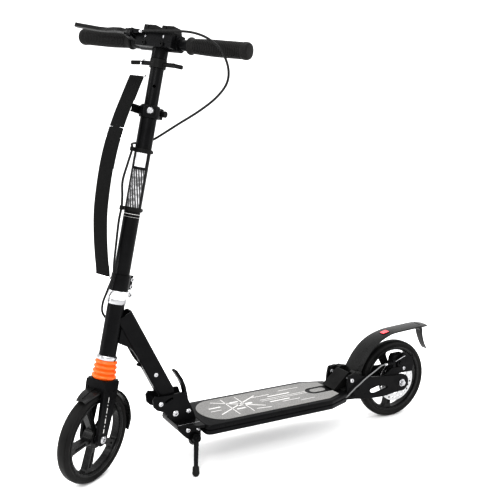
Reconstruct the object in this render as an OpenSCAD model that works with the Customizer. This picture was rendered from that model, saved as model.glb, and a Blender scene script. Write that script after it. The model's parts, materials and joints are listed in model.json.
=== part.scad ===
// Folding kick scooter with hand disc brake, foot brake and carry strap.
// +X is the direction of travel, +Y the rider's left, +Z up, in millimetres.
// The origin is on the ground under the middle of the whole scooter.

/* [Frame] */
// Distance between the two wheel axles
wheelbase = 796; // [790:1:802]
// Distance from the rear axle forward to the origin
origin_ahead = 386; // [384:1:388]
// Angle the steering column leans back from vertical
column_lean = 11.7; // [11:0.1:12.4]
// Angle the steering is turned to the rider's left as drawn
steer_angle = 32.65; // [20:0.05:35]

/* [Deck] */
// Height of the deck's top face above the ground
deck_top = 104; // [102:1:106]
// Height of the deck's edge rails
deck_t = 22; // [20:1:24]
// Half of the deck's width
deck_half = 76; // [70:1:80]
// Front end of the deck, ahead of the rear axle
deck_front = 566; // [560:1:566]
// Rear end of the deck, ahead of the rear axle
deck_rear = 172; // [172:1:180]
// Thickness of the grip tape
tape_t = 1.2; // [0.8:0.1:2]

/* [Wheels] */
// Radius of both wheels over the tyre
wheel_r = 100; // [98:1:102]
// Width of the tyres
tyre_w = 29; // [26:1:30]
// Number of spokes
spokes = 5; // [3:1:6]
// Radius of the brake disc
rotor_r = 54; // [52:1:56]

/* [Steering column] */
// Outer radius of the steerer inside the head tube
steerer_r = 14; // [13.5:0.1:14.5]
// Outer radius of the head tube
head_r = 18; // [17.5:0.1:19]
// Outer radius of the lower column tube
column_r = 17; // [16.5:0.1:17.5]
// Outer radius of the telescoping upper tube
upper_r = 13.9; // [13:0.1:14]
// Distance from the front axle up the column to the handlebar
bar_s = 829; // [820:1:840]
// Half of the handlebar's length over the grips
bar_half = 207; // [195:1:215]
// Radius of the handlebar tube
bar_r = 11; // [10:0.5:11]

/* [Carry strap] */
// Width of the webbing
strap_w = 35; // [30:1:40]
// Thickness of the webbing
strap_t = 2; // [1.5:0.1:3]

/* [Hidden] */
$fn = 64;

// Fold pivot, in rear-axle coordinates
pivot_x = wheelbase - 179;
pivot_z = 125;
// Cross bolts of the hinge, relative to the fold pivot [x, z]
lever_bolt = [-31, 0];
nose_bolt = [34, 27];
// Radius of the latch slot round the fold pivot
latch_r = 36;
// Direction of the down tube and how far its middle lies behind the fold pivot
tube_tilt = 26.8;
tube_back = 7.3;
// Down tube: depth, width, wall, where it starts and its length along its own axis
tube_depth = 37;
tube_width = 32;
tube_wall = 3;
tube_start = 40;
tube_length = 215;
// Hinge plates: inner face and outer face, from the middle plane
plate_in = 18;
plate_out = 23;
// Outer radius of the stanchion that slides inside the steerer
stanchion_r = 11.52;
// Column stations, measured up the column from the front axle
crown_top = 127;
cup_bottom = 168;
head_bottom = 177;
head_top = 287;
headset_top = 297;
clamp_top = 315;
collar_top = 349;
lower_top = 692;
qr_s = 690;
bracket_s = 787;
// Axle, bearing and hub sizes
axle_r = 5;
bearing_r = 13;
bearing_w = 8;
hub_half = 12;
fit = 0.05;
// Half of a spoke's width at the hub and at the rim
spoke_in = 5.5;
spoke_out = 8.5;
// Angle of the first spoke window of each rim
front_turn = 50;
rear_turn = 44;
// Rear arms: inner and outer face, from the middle plane
arm_in = 40;
arm_out = 46;
// Half of the width of the heel guard
guard_half = 25;
// Brake disc: inner and outer face
rotor_in = 21.5;
rotor_out = 23.5;
// Rear fender's pivot, in rear-axle coordinates [x, z]
fender_pin = [158, 131];
// Kickstand pivot and foot, in rear-axle coordinates, and the tilt of the pivot's axis
kick_pivot = [580, 47, 68];
kick_foot = [598, 85, 8];
kick_tilt = 28.4;
// Direction of the height button round the column, towards the rider's left
button_turn = 36;
// How far the brake lever's assembly is turned up from straight ahead
perch_turn = 14;

// ---------- placing ----------
module rear() { translate([-origin_ahead, 0, 0]) children(); }
module rear_hub() { rear() translate([0, 0, wheel_r]) children(); }
module pivot() { rear() translate([pivot_x, 0, pivot_z]) children(); }
// Column frame: origin on the front axle, +Z up the column, +X ahead, not steered
module column() {
  rear() translate([wheelbase, 0, wheel_r]) rotate([0, -column_lean, 0]) children();
}
module steered() { column() rotate([0, 0, steer_angle]) children(); }
// Down tube frame: origin at the fold pivot, +Z up the tube, +X ahead of it
module tube_frame() { pivot() rotate([0, tube_tilt, 0]) translate([-tube_back, 0, 0]) children(); }
// Draws its child, which points along +Y, and its mirror image
module both_sides() { children(); mirror([0, 1, 0]) children(); }
// Extrudes an outline drawn in [x, z] from y = a to y = b
module slab(a, b) { translate([0, b, 0]) rotate([90, 0, 0]) linear_extrude(b - a) children(); }
// Cylinder along +Y from y = a to y = b
module rod_y(r, a, b) { translate([0, a, 0]) rotate([-90, 0, 0]) cylinder(r = r, h = b - a); }
// Cylinder from one point to another
module rod(p, q, r1, r2) {
  d = q - p;
  translate(p) rotate([0, acos(d[2] / norm(d)), atan2(d[1], d[0])])
    cylinder(r1 = r1, r2 = r2, h = norm(d));
}
// Ring round Z
module ring(r_out, r_in, z0, z1) {
  translate([0, 0, z0]) difference() {
    cylinder(r = r_out, h = z1 - z0);
    translate([0, 0, -1]) cylinder(r = r_in, h = z1 - z0 + 2);
  }
}
// Rectangle with round corners, centred
module round_rect(w, h, r) {
  square([w - 2 * r, h], center = true);
  square([w, h - 2 * r], center = true);
  for (x = [-1, 1], y = [-1, 1]) translate([x * (w / 2 - r), y * (h / 2 - r)]) circle(r = r);
}
// Domed screw head on a face that looks along +Z, with a hexagon socket
module screw_head(r, h) {
  difference() {
    union() {
      cylinder(r = r, h = h * 0.6);
      translate([0, 0, h * 0.6]) cylinder(r1 = r, r2 = r * 0.75, h = h * 0.4);
    }
    translate([0, 0, h * 0.4]) cylinder(r = r * 0.45, h = h, $fn = 6);
  }
}
// Screw through two faces a mirror image apart, along Y
module cross_bolt(shaft_r, head_r2, face, head_h) {
  rod_y(shaft_r, -face, face);
  both_sides() translate([0, face, 0]) rotate([-90, 0, 0]) screw_head(head_r2, head_h);
}

// ---------- curves ----------
// Point on a smooth curve through a route, between its points 1 and 2
function curve(a, b, c, d, t) = 0.5 * (2 * b + (c - a) * t + (2 * a - 5 * b + 4 * c - d) * t * t
  + (3 * b - a - 3 * c + d) * t * t * t);
// Smooth path with n steps between the route's points
function smooth(route, n) = let (last = len(route) - 1) concat(
  [for (i = [0 : last - 1], k = [0 : n - 1])
    curve(route[max(i - 1, 0)], route[i], route[i + 1], route[min(i + 2, last)], k / n)],
  [route[last]]);
function unit(v) = v / norm(v);
function tangent(p, i) = unit(p[min(i + 1, len(p) - 1)] - p[max(i - 1, 0)]);
// Side and end faces of a sweep with m points round each of n rings
function sweep_faces(n, m) = concat(
  [[for (k = [0 : m - 1]) k]],
  [for (i = [0 : n - 2], k = [0 : m - 1])
    [i * m + k, (i + 1) * m + k, (i + 1) * m + (k + 1) % m, i * m + (k + 1) % m]],
  [[for (k = [m - 1 : -1 : 0]) (n - 1) * m + k]]);
// Round cord of radius r along a path; ref is never along the path
module cord(p, r, ref) {
  sides = 8;
  points = [for (i = [0 : len(p) - 1]) let (t = tangent(p, i), u = unit(cross(t, ref)), v = cross(t, u))
    for (k = [0 : sides - 1]) p[i] + r * (cos(360 * k / sides) * u + sin(360 * k / sides) * v)];
  polyhedron(points, sweep_faces(len(p), sides), convexity = 6);
}
// Flat band of width w and thickness t along a path; across is the direction of its width
module band(p, w, t, across) {
  points = [for (i = [0 : len(p) - 1]) let (n = unit(cross(tangent(p, i), across)))
    for (c = [[-1, -1], [1, -1], [1, 1], [-1, 1]]) p[i] + c[0] * across * w / 2 + c[1] * n * t / 2];
  polyhedron(points, sweep_faces(len(p), 4), convexity = 6);
}

// ---------- deck ----------
// Deck outline, set in by an amount, in rear-axle x and y
module deck_outline(inset) {
  h = deck_half - inset;
  f = deck_front - inset;
  r = deck_rear + inset;
  polygon([[r, -h + 24], [r + 8, -h + 18], [235, -h], [f - 12, -h], [f - 4, -h + 3], [f, -h + 10],
    [f, h - 10], [f - 4, h - 3], [f - 12, h], [235, h], [r + 8, h - 18], [r, h - 24]]);
}
module deck() {
  skin = 5;
  rail = 9;
  color([0.09, 0.09, 0.09]) rear() difference() {
    union() {
      translate([0, 0, deck_top - skin]) linear_extrude(skin) deck_outline(0);
      translate([0, 0, deck_top - deck_t]) linear_extrude(deck_t - skin) difference() {
        deck_outline(0.8);
        deck_outline(rail);
      }
      for (y = [-26, 26]) translate([deck_rear + rail, y - 2.5, deck_top - 16])
        cube([deck_front - deck_rear - 2 * rail, 5, 16 - skin]);
    }
    both_sides() translate([240, deck_half - 2, deck_top - 11]) cube([300, 4, 2.5]);
    // Holes that the brake cable goes in and out by
    for (p = [[deck_front - 20, 32, 88], [deck_rear - 10, 50, 93]]) translate(p)
      rotate([0, 90, 0]) cylinder(r = 3.4, h = 40);
  }
}
// Grip tape with a pointed-round front, a notch at the rear and a loose oval in the notch
module grip_tape() {
  w = 62;
  color([0.62, 0.61, 0.6]) rear() translate([0, 0, deck_top]) linear_extrude(tape_t) {
    difference() {
      union() {
        translate([252, -w]) square([248, 2 * w]);
        intersection() {
          translate([500, 0]) scale([0.8, 1]) circle(r = w);
          translate([500, -w]) square([60, 2 * w]);
        }
        polygon([[252, -w], [252, w], [232, w], [196, w - 16], [196, 16 - w], [232, -w]]);
      }
      translate([240, 0]) circle(r = 20);
      translate([180, -20]) square([60, 40]);
    }
    translate([228, 0]) round_rect(42, 22, 10.9);
  }
}
// Casting that closes the deck's front, carries the hinge plates and the kickstand's lug
module front_bracket() {
  color([0.07, 0.07, 0.07]) rear() difference() {
    union() {
      translate([0, 0, deck_top - 6]) linear_extrude(6) polygon([[deck_front, 66], [580, 64],
        [592, 56], [600, 46], [621, 42], [621, -42], [600, -46], [592, -56], [580, -64], [deck_front, -66]]);
      slab(-44, 44) polygon([[deck_front, 98], [621, 98], [619, 92], [603, 74], [592, 66], [deck_front, 66]]);
      translate(kick_pivot) rotate([kick_tilt, 0, 0]) rod_y(11, -16, -3);
    }
    for (x = [0, 25]) translate([pivot_x - 20 - x, 0, 90]) both_sides() rod_y(4, 36, 60);
    translate(kick_pivot) rotate([kick_tilt, 0, 0]) rod_y(4, -18, 10);
    translate(kick_pivot) rotate([kick_tilt, 0, 0]) rod_y(13, -2.9, 16);
    // Channel that the brake cable comes down
    translate([pivot_x - 33, -9, 60]) cube([22, 18, 60]);
    slab(-35, 35) polygon([[deck_front - 1, 72], [600, 72], [607, 92], [deck_front - 1, 92]]);
  }
}
module hinge_plate() {
  slab(plate_in, plate_out) difference() {
    polygon([[-49, deck_top - pivot_z], [-2, deck_top - pivot_z], [4, -18], [18, -3], [27, 7], [43, 14],
      [50, 21], [52, 38], [46, 46], [36, 44], [14, 43], [-12, 45], [-25, 44], [-32, 24], [-44, -4]]);
    circle(r = axle_r);
    translate(lever_bolt) circle(r = 4);
    translate(nose_bolt) circle(r = 4);
    // Slot of the latch, round the fold pivot
    for (a = [54 : 6 : 78]) rotate(a) translate([latch_r, 0]) circle(r = 2.6, $fn = 24);
  }
}
module hinge_plate_left() { color([0.05, 0.05, 0.05]) pivot() hinge_plate(); }
module hinge_plate_right() { color([0.05, 0.05, 0.05]) pivot() mirror([0, 1, 0]) hinge_plate(); }
module fold_pivot_bolt() { color("silver") pivot() cross_bolt(axle_r, 7.2, plate_out, 4); }
// Screws of the hinge plates, the front bracket, the kickstand and the rear block
module deck_bolts() {
  color("silver") {
    pivot() translate([lever_bolt[0], 0, lever_bolt[1]]) cross_bolt(4, 6, plate_out, 3.5);
    pivot() translate([nose_bolt[0], 0, nose_bolt[1]]) cross_bolt(4, 5.6, plate_out, 3.5);
    for (x = [0, 25]) rear() translate([pivot_x - 20 - x, 0, 90]) both_sides() {
      rod_y(4, 36, 44);
      translate([0, 44, 0]) rotate([-90, 0, 0]) screw_head(5.6, 3.5);
    }
    rear() translate(kick_pivot) rotate([kick_tilt, 0, 0]) {
      rod_y(4, -16, 8.5);
      translate([0, 8.5, 0]) rotate([-90, 0, 0]) screw_head(5.2, 3);
    }
    for (p = [[138, 108], [152, 92]]) rear() translate([p[0], 0, p[1]]) both_sides() {
      rod_y(4, 30, arm_out);
      translate([0, arm_out, 0]) rotate([-90, 0, 0]) screw_head(4.8, 3);
    }
  }
}

// ---------- rear end ----------
// Casting between the rear arms, with the heel guard that rises over it
module rear_block() {
  color([0.08, 0.08, 0.08]) rear() difference() {
    union() {
      slab(-arm_in, arm_in) polygon([[132, 84], [deck_rear, 84], [deck_rear, 104], [178, 104], [178, 106],
        [150, 112], [132, 112]]);
      slab(-guard_half, guard_half) polygon([[150, 105.4], [194, 105.4], [195.6, 107], [153.5, 144.5], [150, 144.5]]);
    }
    for (p = [[138, 108], [152, 92]]) translate([p[0], 0, p[1]]) both_sides() rod_y(4, 30, 60);
    translate([fender_pin[0], 0, fender_pin[1]]) rod_y(4, -60, 60);
  }
}
// Arm from the rear block to the axle, with a long window
module rear_arm() {
  difference() {
    union() {
      slab(arm_in, arm_out) polygon([[deck_rear, 84], [146, 82], [106, 75], [60, 73], [-9, 80], [-9, 120],
        [48, 125], [96, 130], [124, 136], [146, 146], [166, 144], [170, 128], [deck_rear, 104]]);
      translate([0, 0, wheel_r]) rod_y(22, arm_in, arm_out);
    }
    translate([0, 0, wheel_r]) rod_y(axle_r, 0, 60);
    for (p = [[138, 108], [152, 92], fender_pin]) translate([p[0], 0, p[1]]) rod_y(4, 0, 60);
    slab(arm_in - 1, arm_out + 1) polygon([[96, 88], [101, 94], [98, 101], [88, 105], [70, 104], [48, 99],
      [44, 95], [62, 90], [84, 86]]);
  }
}
module rear_arm_left() {
  color([0.08, 0.08, 0.08]) rear() {
    rear_arm();
    // Lug that carries the brake caliper
    slab(36, arm_in) polygon([[-8, 130], [-8, 140.5], [30, 140.5], [60, 118], [60, 104], [34, 104]]);
  }
}
module rear_arm_right() { color([0.08, 0.08, 0.08]) rear() mirror([0, 1, 0]) rear_arm(); }
// Rear axle with its nuts and the spacers between the arms and the wheel's bearings
module rear_axle() {
  color("silver") rear_hub() {
    rod_y(axle_r, -54.5, 54.5);
    both_sides() translate([0, arm_out, 0]) rotate([-90, 0, 0]) difference() {
      union() {
        cylinder(r = 9.5, h = 2);
        translate([0, 0, 2]) cylinder(r = 7.5, h = 5, $fn = 6);
      }
      translate([0, 0, -1]) cylinder(r = axle_r, h = 12);
    }
    both_sides() translate([0, hub_half + 0.3, 0]) rotate([-90, 0, 0])
      ring(8, axle_r, 0, arm_in - hub_half - 0.3);
  }
}
// Bolt that the rear fender turns on, with its two return springs
module fender_pivot() {
  color("silver") rear() translate([fender_pin[0], 0, fender_pin[1]]) {
    cross_bolt(4, 5.6, arm_out, 3.5);
    both_sides() for (y = [34.1, 35.6]) translate([0, y, 0]) rotate([-90, 0, 0])
      rotate_extrude() translate([5.4, 0]) circle(r = 0.75, $fn = 16);
  }
}
// Rear fender: a crown from its pivot over the wheel, deeper sides in front and a flap behind
fender_line = [[134, 134], [129, 147], [120, 162.5], [106.5, 181], [87, 200], [67, 212.5], [46, 221],
  [26, 226], [5, 229.5], [-36, 232], [-80, 234], [-103, 233]];
flap_line = [[-80, 231], [-90, 220], [-93, 206], [-98, 190], [-105, 175], [-113.2, 163]];
// Outline between a line moved out and the same line moved in, by an amount for each point
function thick_line(p, out, in) = concat(
  [for (i = [0 : len(p) - 1]) let (g = tangent(p, i)) p[i] - out[i] * [-g[1], g[0]]],
  [for (i = [len(p) - 1 : -1 : 0]) let (g = tangent(p, i)) p[i] + in[i] * [-g[1], g[0]]]);
module rear_fender() {
  half = 21;
  crown = smooth(fender_line, 3);
  flap = smooth(flap_line, 3);
  color([0.1, 0.1, 0.1]) rear() {
    slab(-half, half) polygon(thick_line(crown, [for (q = crown) 0], [for (q = crown) 4.2]));
    both_sides() slab(half, half + 2)
      polygon(thick_line(crown, [for (q = crown) 0], [for (q = crown) 5 + 15 * max(0, (q[0] - 20) / 114)]));
    slab(-10.5, 10.5) polygon(thick_line(flap, [for (q = flap) (q[1] - 150) / 32],
      [for (q = flap) (q[1] - 150) / 32]));
    // Ears on the pivot bolt
    both_sides() difference() {
      union() {
        slab(half, 39.6) polygon([[118, 130], [122, 146], [141, 150], [148, 146], [148, 128]]);
        slab(36.6, 39.6) polygon([[133, 128], [133, 146], [141, 150], [158, 142], [158, 122]]);
        translate([fender_pin[0], 0, fender_pin[1]]) rod_y(9, 36.6, 39.6);
      }
      translate([fender_pin[0], 0, fender_pin[1]]) rod_y(4 + fit, 20, 42);
    }
  }
}

// ---------- wheels ----------
module tyre() {
  rotate([-90, 0, 0]) rotate_extrude($fn = 128) polygon([
    [84, -11], [91, -13.5], [94.5, -tyre_w / 2], [97, -13], [99.2, -9], [wheel_r, -5], [wheel_r, 5],
    [99.2, 9], [97, 13], [94.5, tyre_w / 2], [91, 13.5], [84, 11]]);
}
// Point beside a spoke at a radius, a distance from the spoke's middle line
function spoke_side(r, w, s) = let (a = 180 / spokes) [r * cos(a) + w * sin(a), s * (r * sin(a) - w * cos(a))];
// Window between two spokes, before its corners are rounded
module spoke_window() {
  rim_r = 76;
  reach = 180 / spokes - asin(spoke_out / rim_r);
  polygon(concat([spoke_side(22, spoke_in, -1)],
    [for (t = [-1 : 0.25 : 1]) rim_r * [cos(t * reach), sin(t * reach)]], [spoke_side(22, spoke_in, 1)]));
}
// Rim with its first window at an angle
module rim(turn) {
  rotate([-90, 0, 0]) difference() {
    union() {
      rotate_extrude($fn = 128) polygon([[77, -9], [79, -12], [84, -12], [84, 12], [79, 12], [77, 9]]);
      translate([0, 0, -8]) linear_extrude(16) difference() {
        circle(r = 78);
        for (k = [0 : spokes - 1]) rotate(k * 360 / spokes + turn)
          offset(r = 6) offset(delta = -6) spoke_window();
      }
      cylinder(r = 22, h = 2 * hub_half, center = true);
    }
    cylinder(r = 8, h = 60, center = true);
    for (s = [-1, 1]) translate([0, 0, s * (hub_half - bearing_w / 2)])
      cylinder(r = bearing_r, h = bearing_w + 0.02, center = true);
    // Hollows along both faces of each spoke
    for (k = [0 : spokes - 1], s = [-1, 1]) rotate(k * 360 / spokes + turn + 180 / spokes)
      translate([50, 0, s * 8.5]) cube([32, 4, 5], center = true);
  }
}
module bearings() {
  rotate([-90, 0, 0]) for (s = [-1, 1]) translate([0, 0, s * (hub_half - bearing_w / 2) - bearing_w / 2])
    ring(bearing_r, axle_r + fit, 0, bearing_w);
}
module front_tyre() { color([0.06, 0.06, 0.06]) steered() tyre(); }
module front_rim() { color([0.1, 0.1, 0.1]) steered() rim(front_turn); }
module front_bearings() { color("gray") steered() bearings(); }
module rear_tyre() { color([0.06, 0.06, 0.06]) rear_hub() tyre(); }
module rear_rim() {
  color([0.1, 0.1, 0.1]) rear_hub() {
    rim(rear_turn);
    rotate([-90, 0, 0]) ring(20, bearing_r + 1, hub_half, rotor_in);
  }
}
module rear_bearings() { color("gray") rear_hub() bearings(); }
// Brake disc with its screws
module brake_rotor() {
  color("silver") rear_hub() rotate([-90, 0, 0]) {
    translate([0, 0, rotor_in]) linear_extrude(rotor_out - rotor_in) difference() {
      circle(r = rotor_r, $fn = 120);
      circle(r = bearing_r + 1);
      for (k = [0 : 27]) rotate(k * 360 / 28) translate([rotor_r - 8 + (k % 2) * 2.4 - 1.2, 0])
        circle(r = 2.4, $fn = 20);
      for (k = [0 : 5]) rotate(k * 60 + 30) translate([29, 0]) circle(r = 8.5, $fn = 32);
    }
    for (k = [0 : 5]) rotate(k * 60) translate([17.2, 0, rotor_out]) cylinder(r = 2.6, h = 2);
  }
}

// ---------- disc brake ----------
// Caliper over the disc's top edge, its pads and the cable's adjuster
module brake_caliper() {
  color([0.12, 0.12, 0.12]) rear() {
    difference() {
      union() {
        slab(25.2, 36) polygon([[-12, 122], [-40, 122], [-46, 140], [-40, 160], [-16, 172], [18, 172], [30, 160],
          [32, 132], [14, 124]]);
        slab(15.6, 25.2) polygon([[-17, 163], [-13, 172], [15, 172], [21, 163]]);
        slab(15.6, 20) polygon([[-17, 140], [-17, 163], [21, 163], [21, 140], [8, 134], [-6, 134]]);
        translate([4, 0, 152]) rod_y(11, 36, 40);
        slab(arm_in, 51) polygon([[34, 146], [34, 166], [26, 166], [26, 146]]);
        slab(30, arm_in) polygon([[24, 150], [34, 150], [34, 162], [24, 162]]);
      }
      translate([30, 46.5, 156]) rod([-14, 0, 0], [14, 0, 0], 2, 2);
    }
  }
  color([0.5, 0.4, 0.25]) rear() {
    slab(20, rotor_in - 0.2) polygon([[-12, 142], [-12, 158], [16, 158], [16, 142]]);
    slab(rotor_out + 0.2, 25.2) polygon([[-12, 142], [-12, 158], [16, 158], [16, 142]]);
  }
  color("silver") rear() translate([0, 46.5, 156]) difference() {
    union() {
      rod([34, 0, 0], [40, 0, 0], 4.5, 4.5);
      rod([40, 0, 0], [50, 0, 0], 3.6, 3.2);
    }
    rod([30, 0, 0], [52, 0, 0], 1.6, 1.6);
  }
}
// Lever on the caliper that the cable pulls
module caliper_arm() {
  color([0.2, 0.2, 0.2]) rear() translate([4, 0, 152]) {
    slab(40.3, 44.3) difference() {
      union() {
        circle(r = 10);
        polygon([[-8, 4], [8, 4], [-8, 22], [-20, 18]]);
        translate([-13, 17]) circle(r = 6);
      }
      translate([-13, 17]) circle(r = 2);
    }
    rod_y(5, 44.3, 47);
  }
}

// ---------- kickstand ----------
module kickstand_leg() {
  foot = kick_foot - kick_pivot;
  color([0.06, 0.06, 0.06]) rear() translate(kick_pivot) difference() {
    union() {
      rotate([kick_tilt, 0, 0]) rod_y(9.5, -2.7, 8);
      rod([0, 3.2, 0] + foot * 0.05, foot * 0.95, 5.5, 4.5);
    }
    rotate([kick_tilt, 0, 0]) rod_y(4 + fit, -20, 40);
    rotate([kick_tilt, 0, 0]) rod_y(8, 8, 20);
    rod(foot * 0.82, foot, 4.02, 4.02);
  }
}
module kickstand_foot() {
  foot = kick_foot - kick_pivot;
  color([0.03, 0.03, 0.03]) rear() translate(kick_pivot) difference() {
    union() {
      translate(foot) sphere(r = 8);
      rod(foot * 0.82, foot, 7, 7.6);
    }
    rod([0, 3.2, 0] + foot * 0.05, foot * 0.955, 5.5 + fit, 4.5 + fit);
  }
}

// ---------- folding hinge ----------
module hinge_knuckle() {
  color([0.08, 0.08, 0.08]) difference() {
    union() {
      pivot() rod_y(13, -plate_in + 0.6, plate_in - 0.6);
      tube_frame() {
        translate([-3.2, -plate_in + 1, 0]) cube([22.2, 2 * plate_in - 2, tube_start]);
        translate([-3.2, -tube_width / 2 + tube_wall + 0.1, tube_start])
          cube([15, tube_width - 2 * tube_wall - 0.2, 22]);
      }
    }
    pivot() rod_y(axle_r + fit, -30, 30);
  }
}
module down_tube() {
  color([0.07, 0.07, 0.07]) difference() {
    union() {
      tube_frame() translate([0, 0, tube_start]) linear_extrude(tube_length) difference() {
        round_rect(tube_depth, tube_width, 6);
        round_rect(tube_depth - 2 * tube_wall, tube_width - 2 * tube_wall, 3.5);
      }
      // Gusset under the joint with the head tube
      column() slab(-12, 12) polygon([[-16, 205], [-46, 196], [-72, 170], [-40, 222], [-16, 240]]);
    }
    column() translate([0, 0, 100]) cylinder(r = head_r, h = 260);
    column() translate([0, -60, 100]) cube([120, 120, 260]);
    column() translate([-60, -60, head_top - 1]) cube([120, 120, 60]);
    // Hole on the underside where the brake cable goes in, and its groove beside the gusset
    tube_frame() rod([30, -1.4, 148], [5, 0, 110.5], 4.6, 4.6);
    column() rod([-44, -18.5, 200], [-78, -3, 160], 3.8, 3.8);
    // Slanted end behind, which clears the release lever
    tube_frame() slab(-tube_width, tube_width)
      polygon([[-tube_depth / 2 - 1, tube_start - 1], [-tube_depth / 2 - 1, 51], [-12.5, tube_start - 1]]);
  }
}
module head_tube() { color([0.07, 0.07, 0.07]) column() ring(head_r, 16.5, head_bottom, head_top); }
// Bearing cups above and below the head tube, and the bearings inside it
module headset() {
  color("silver") column() {
    rotate_extrude() polygon([[16.5, cup_bottom], [21, cup_bottom], [21.8, cup_bottom + 3],
      [21.8, cup_bottom + 6], [head_r + 1, head_bottom], [16.5, head_bottom]]);
    rotate_extrude() polygon([[15, head_top], [head_r + 1.4, head_top], [20.6, head_top + 3],
      [20.6, headset_top - 0.5], [15, headset_top - 0.5]]);
    ring(16.5, steerer_r + fit, head_bottom + 1, head_bottom + 9);
    ring(16.5, steerer_r + fit, head_top - 9, head_top - 1);
  }
}
// Handle that releases the fold, behind the down tube
module release_lever() {
  color([0.05, 0.05, 0.05]) pivot() translate([lever_bolt[0], 0, lever_bolt[1]]) {
    slab(-8, 8) difference() {
      union() {
        circle(r = 8);
        polygon([[-7, 0], [-6, 26], [-1, 52], [6, 70], [19, 91], [23.4, 92.4], [25.6, 88.2], [12, 66], [5, 50], [0, 28], [4, 6]]);
      }
      circle(r = 4 + fit);
    }
    both_sides() slab(8, 13) difference() {
      circle(r = 8);
      circle(r = 4 + fit);
    }
  }
}

// ---------- steering column ----------
module steerer_tube() {
  color("silver") steered() ring(steerer_r, 11.6, 148, 340);
}
// Split clamp on the steerer above the upper bearing cup
module headset_clamp() {
  color("silver") steered() difference() {
    union() {
      rotate_extrude() polygon([[steerer_r, headset_top], [21, headset_top], [21.6, headset_top + 3],
        [21.6, clamp_top - 4], [20, clamp_top], [steerer_r, clamp_top]]);
      translate([-33, -9, headset_top + 2]) cube([15, 18, 14]);
      // Eye for the strap's lower hook
      translate([0, -24, headset_top + 8]) rotate([0, 90, 0]) ring(5, 2.6, -2, 2);
    }
    translate([0, 0, headset_top - 1]) cylinder(r = steerer_r, h = 30);
    translate([-40, -1, headset_top - 1]) cube([30, 2, 30]);
    translate([-27.5, 0, headset_top + 9]) rod_y(2.5, -20, 20);
  }
}
module column_collar() {
  color([0.05, 0.05, 0.05]) steered() difference() {
    union() {
      ring(20, column_r, clamp_top + 1, collar_top);
      translate([-33, -8, clamp_top + 2]) cube([15, 16, collar_top - clamp_top - 4]);
    }
    translate([0, 0, clamp_top]) cylinder(r = column_r, h = 50);
    translate([-40, -1, clamp_top]) cube([30, 2, 50]);
    for (s = [0, 15]) translate([-27, 0, clamp_top + 9 + s]) rod_y(2.5, -20, 20);
  }
}
module lower_column() {
  color([0.08, 0.08, 0.08]) steered() difference() {
    ring(column_r, 14, clamp_top + 1, lower_top);
    rotate([0, 0, button_turn]) translate([0, 0, qr_s]) rotate([0, 90, 0]) cylinder(r = 5.2, h = 40);
    translate([-30, -1, 652]) cube([20, 2, 60]);
  }
}
// Screws of the headset clamp and the column collar
module clamp_bolts() {
  color("silver") steered() {
    for (p = [[-27.5, headset_top + 9, 9], [-27, clamp_top + 9, 8], [-27, clamp_top + 24, 8]])
      translate([p[0], 0, p[1]]) {
        rod_y(2.5, -p[2], p[2]);
        both_sides() translate([0, p[2], 0]) rotate([-90, 0, 0]) screw_head(4.6, 4);
      }
  }
}
// Quick-release clamp at the top of the lower column
module qr_clamp() {
  color([0.06, 0.06, 0.06]) steered() difference() {
    union() {
      rotate_extrude() polygon([[column_r, qr_s - 14], [20.5, qr_s - 14], [21.5, qr_s - 10], [21.5, qr_s + 8],
        [18, qr_s + 12], [14.3, qr_s + 12], [14.3, lower_top], [column_r, lower_top]]);
      translate([-31, -12, qr_s - 12]) cube([14, 24, 22]);
      rotate([0, 0, button_turn]) translate([14, 0, qr_s]) rotate([0, 90, 0]) cylinder(r = 9.5, h = 9.5);
    }
    translate([0, 0, qr_s - 20]) cylinder(r = column_r, h = lower_top - qr_s + 20);
    translate([0, 0, qr_s - 20]) cylinder(r = 14.3, h = 60);
    translate([-40, -1.5, qr_s - 20]) cube([26, 3, 40]);
    translate([-25, 0, qr_s]) rod_y(3, -20, 20);
    rotate([0, 0, button_turn]) translate([0, 0, qr_s]) rotate([0, 90, 0]) cylinder(r = 7.1, h = 40);
  }
}
// Axle of the quick release with its nut
module qr_axle() {
  color("silver") steered() translate([-25, 0, qr_s]) {
    rod_y(3, -19, 14);
    rod_y(5.6, 12, 15);
    rod_y(6.6, 15, 23);
    rod([0, -21, -8.5], [0, -21, 8.5], 2.5, 2.5);
    rod_y(4, -20, -16.6);
  }
}
module qr_lever() {
  color([0.05, 0.05, 0.05]) steered() translate([-25, -21, qr_s]) difference() {
    union() {
      for (s = [-1, 1]) translate([0, 0, s * 6.4 - 1.6]) linear_extrude(3.2) {
        circle(r = 6.5);
        polygon([[0, -6.5], [0, 5], [10, 2.4], [20, -1.2], [31, -1.4], [42, 0], [54, 1], [56, -3],
          [54, -6], [30, -9.5], [12, -8]]);
      }
      translate([14, -6, -8]) cube([38, 4, 16]);
    }
    translate([0, 0, -20]) cylinder(r = 2.5 + fit, h = 40);
  }
}
module height_button() {
  color("silver") steered() rotate([0, 0, button_turn]) translate([0, 0, qr_s]) rotate([0, 90, 0]) {
    translate([0, 0, 18]) cylinder(r = 7, h = 6);
    translate([0, 0, 24]) cylinder(r1 = 7, r2 = 5.6, h = 2);
    translate([0, 0, 14.4]) cylinder(r = 5, h = 4);
  }
}
// Cable clips on the lower column
module cable_clips() {
  color([0.03, 0.03, 0.03]) steered() for (c = [[608, -32, 24.3], [486, -28, 25.6]]) {
    ring(column_r + 2, column_r, c[0] - 4, c[0] + 4);
    rotate([0, 0, c[1]]) translate([c[2] - 0.3, 0, 0]) ring(4.4, 2.6, c[0] - 4, c[0] + 4);
    rotate([0, 0, c[1] + 180]) translate([column_r + 1, -3, c[0] - 3]) cube([4, 6, 6]);
  }
}
// Rubber spring inside the steerer and the plug it pushes against
module suspension_elastomer() {
  color([0.8, 0.4, 0.1]) steered() translate([0, 0, 236]) cylinder(r = 10.8, h = 54);
}

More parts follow.
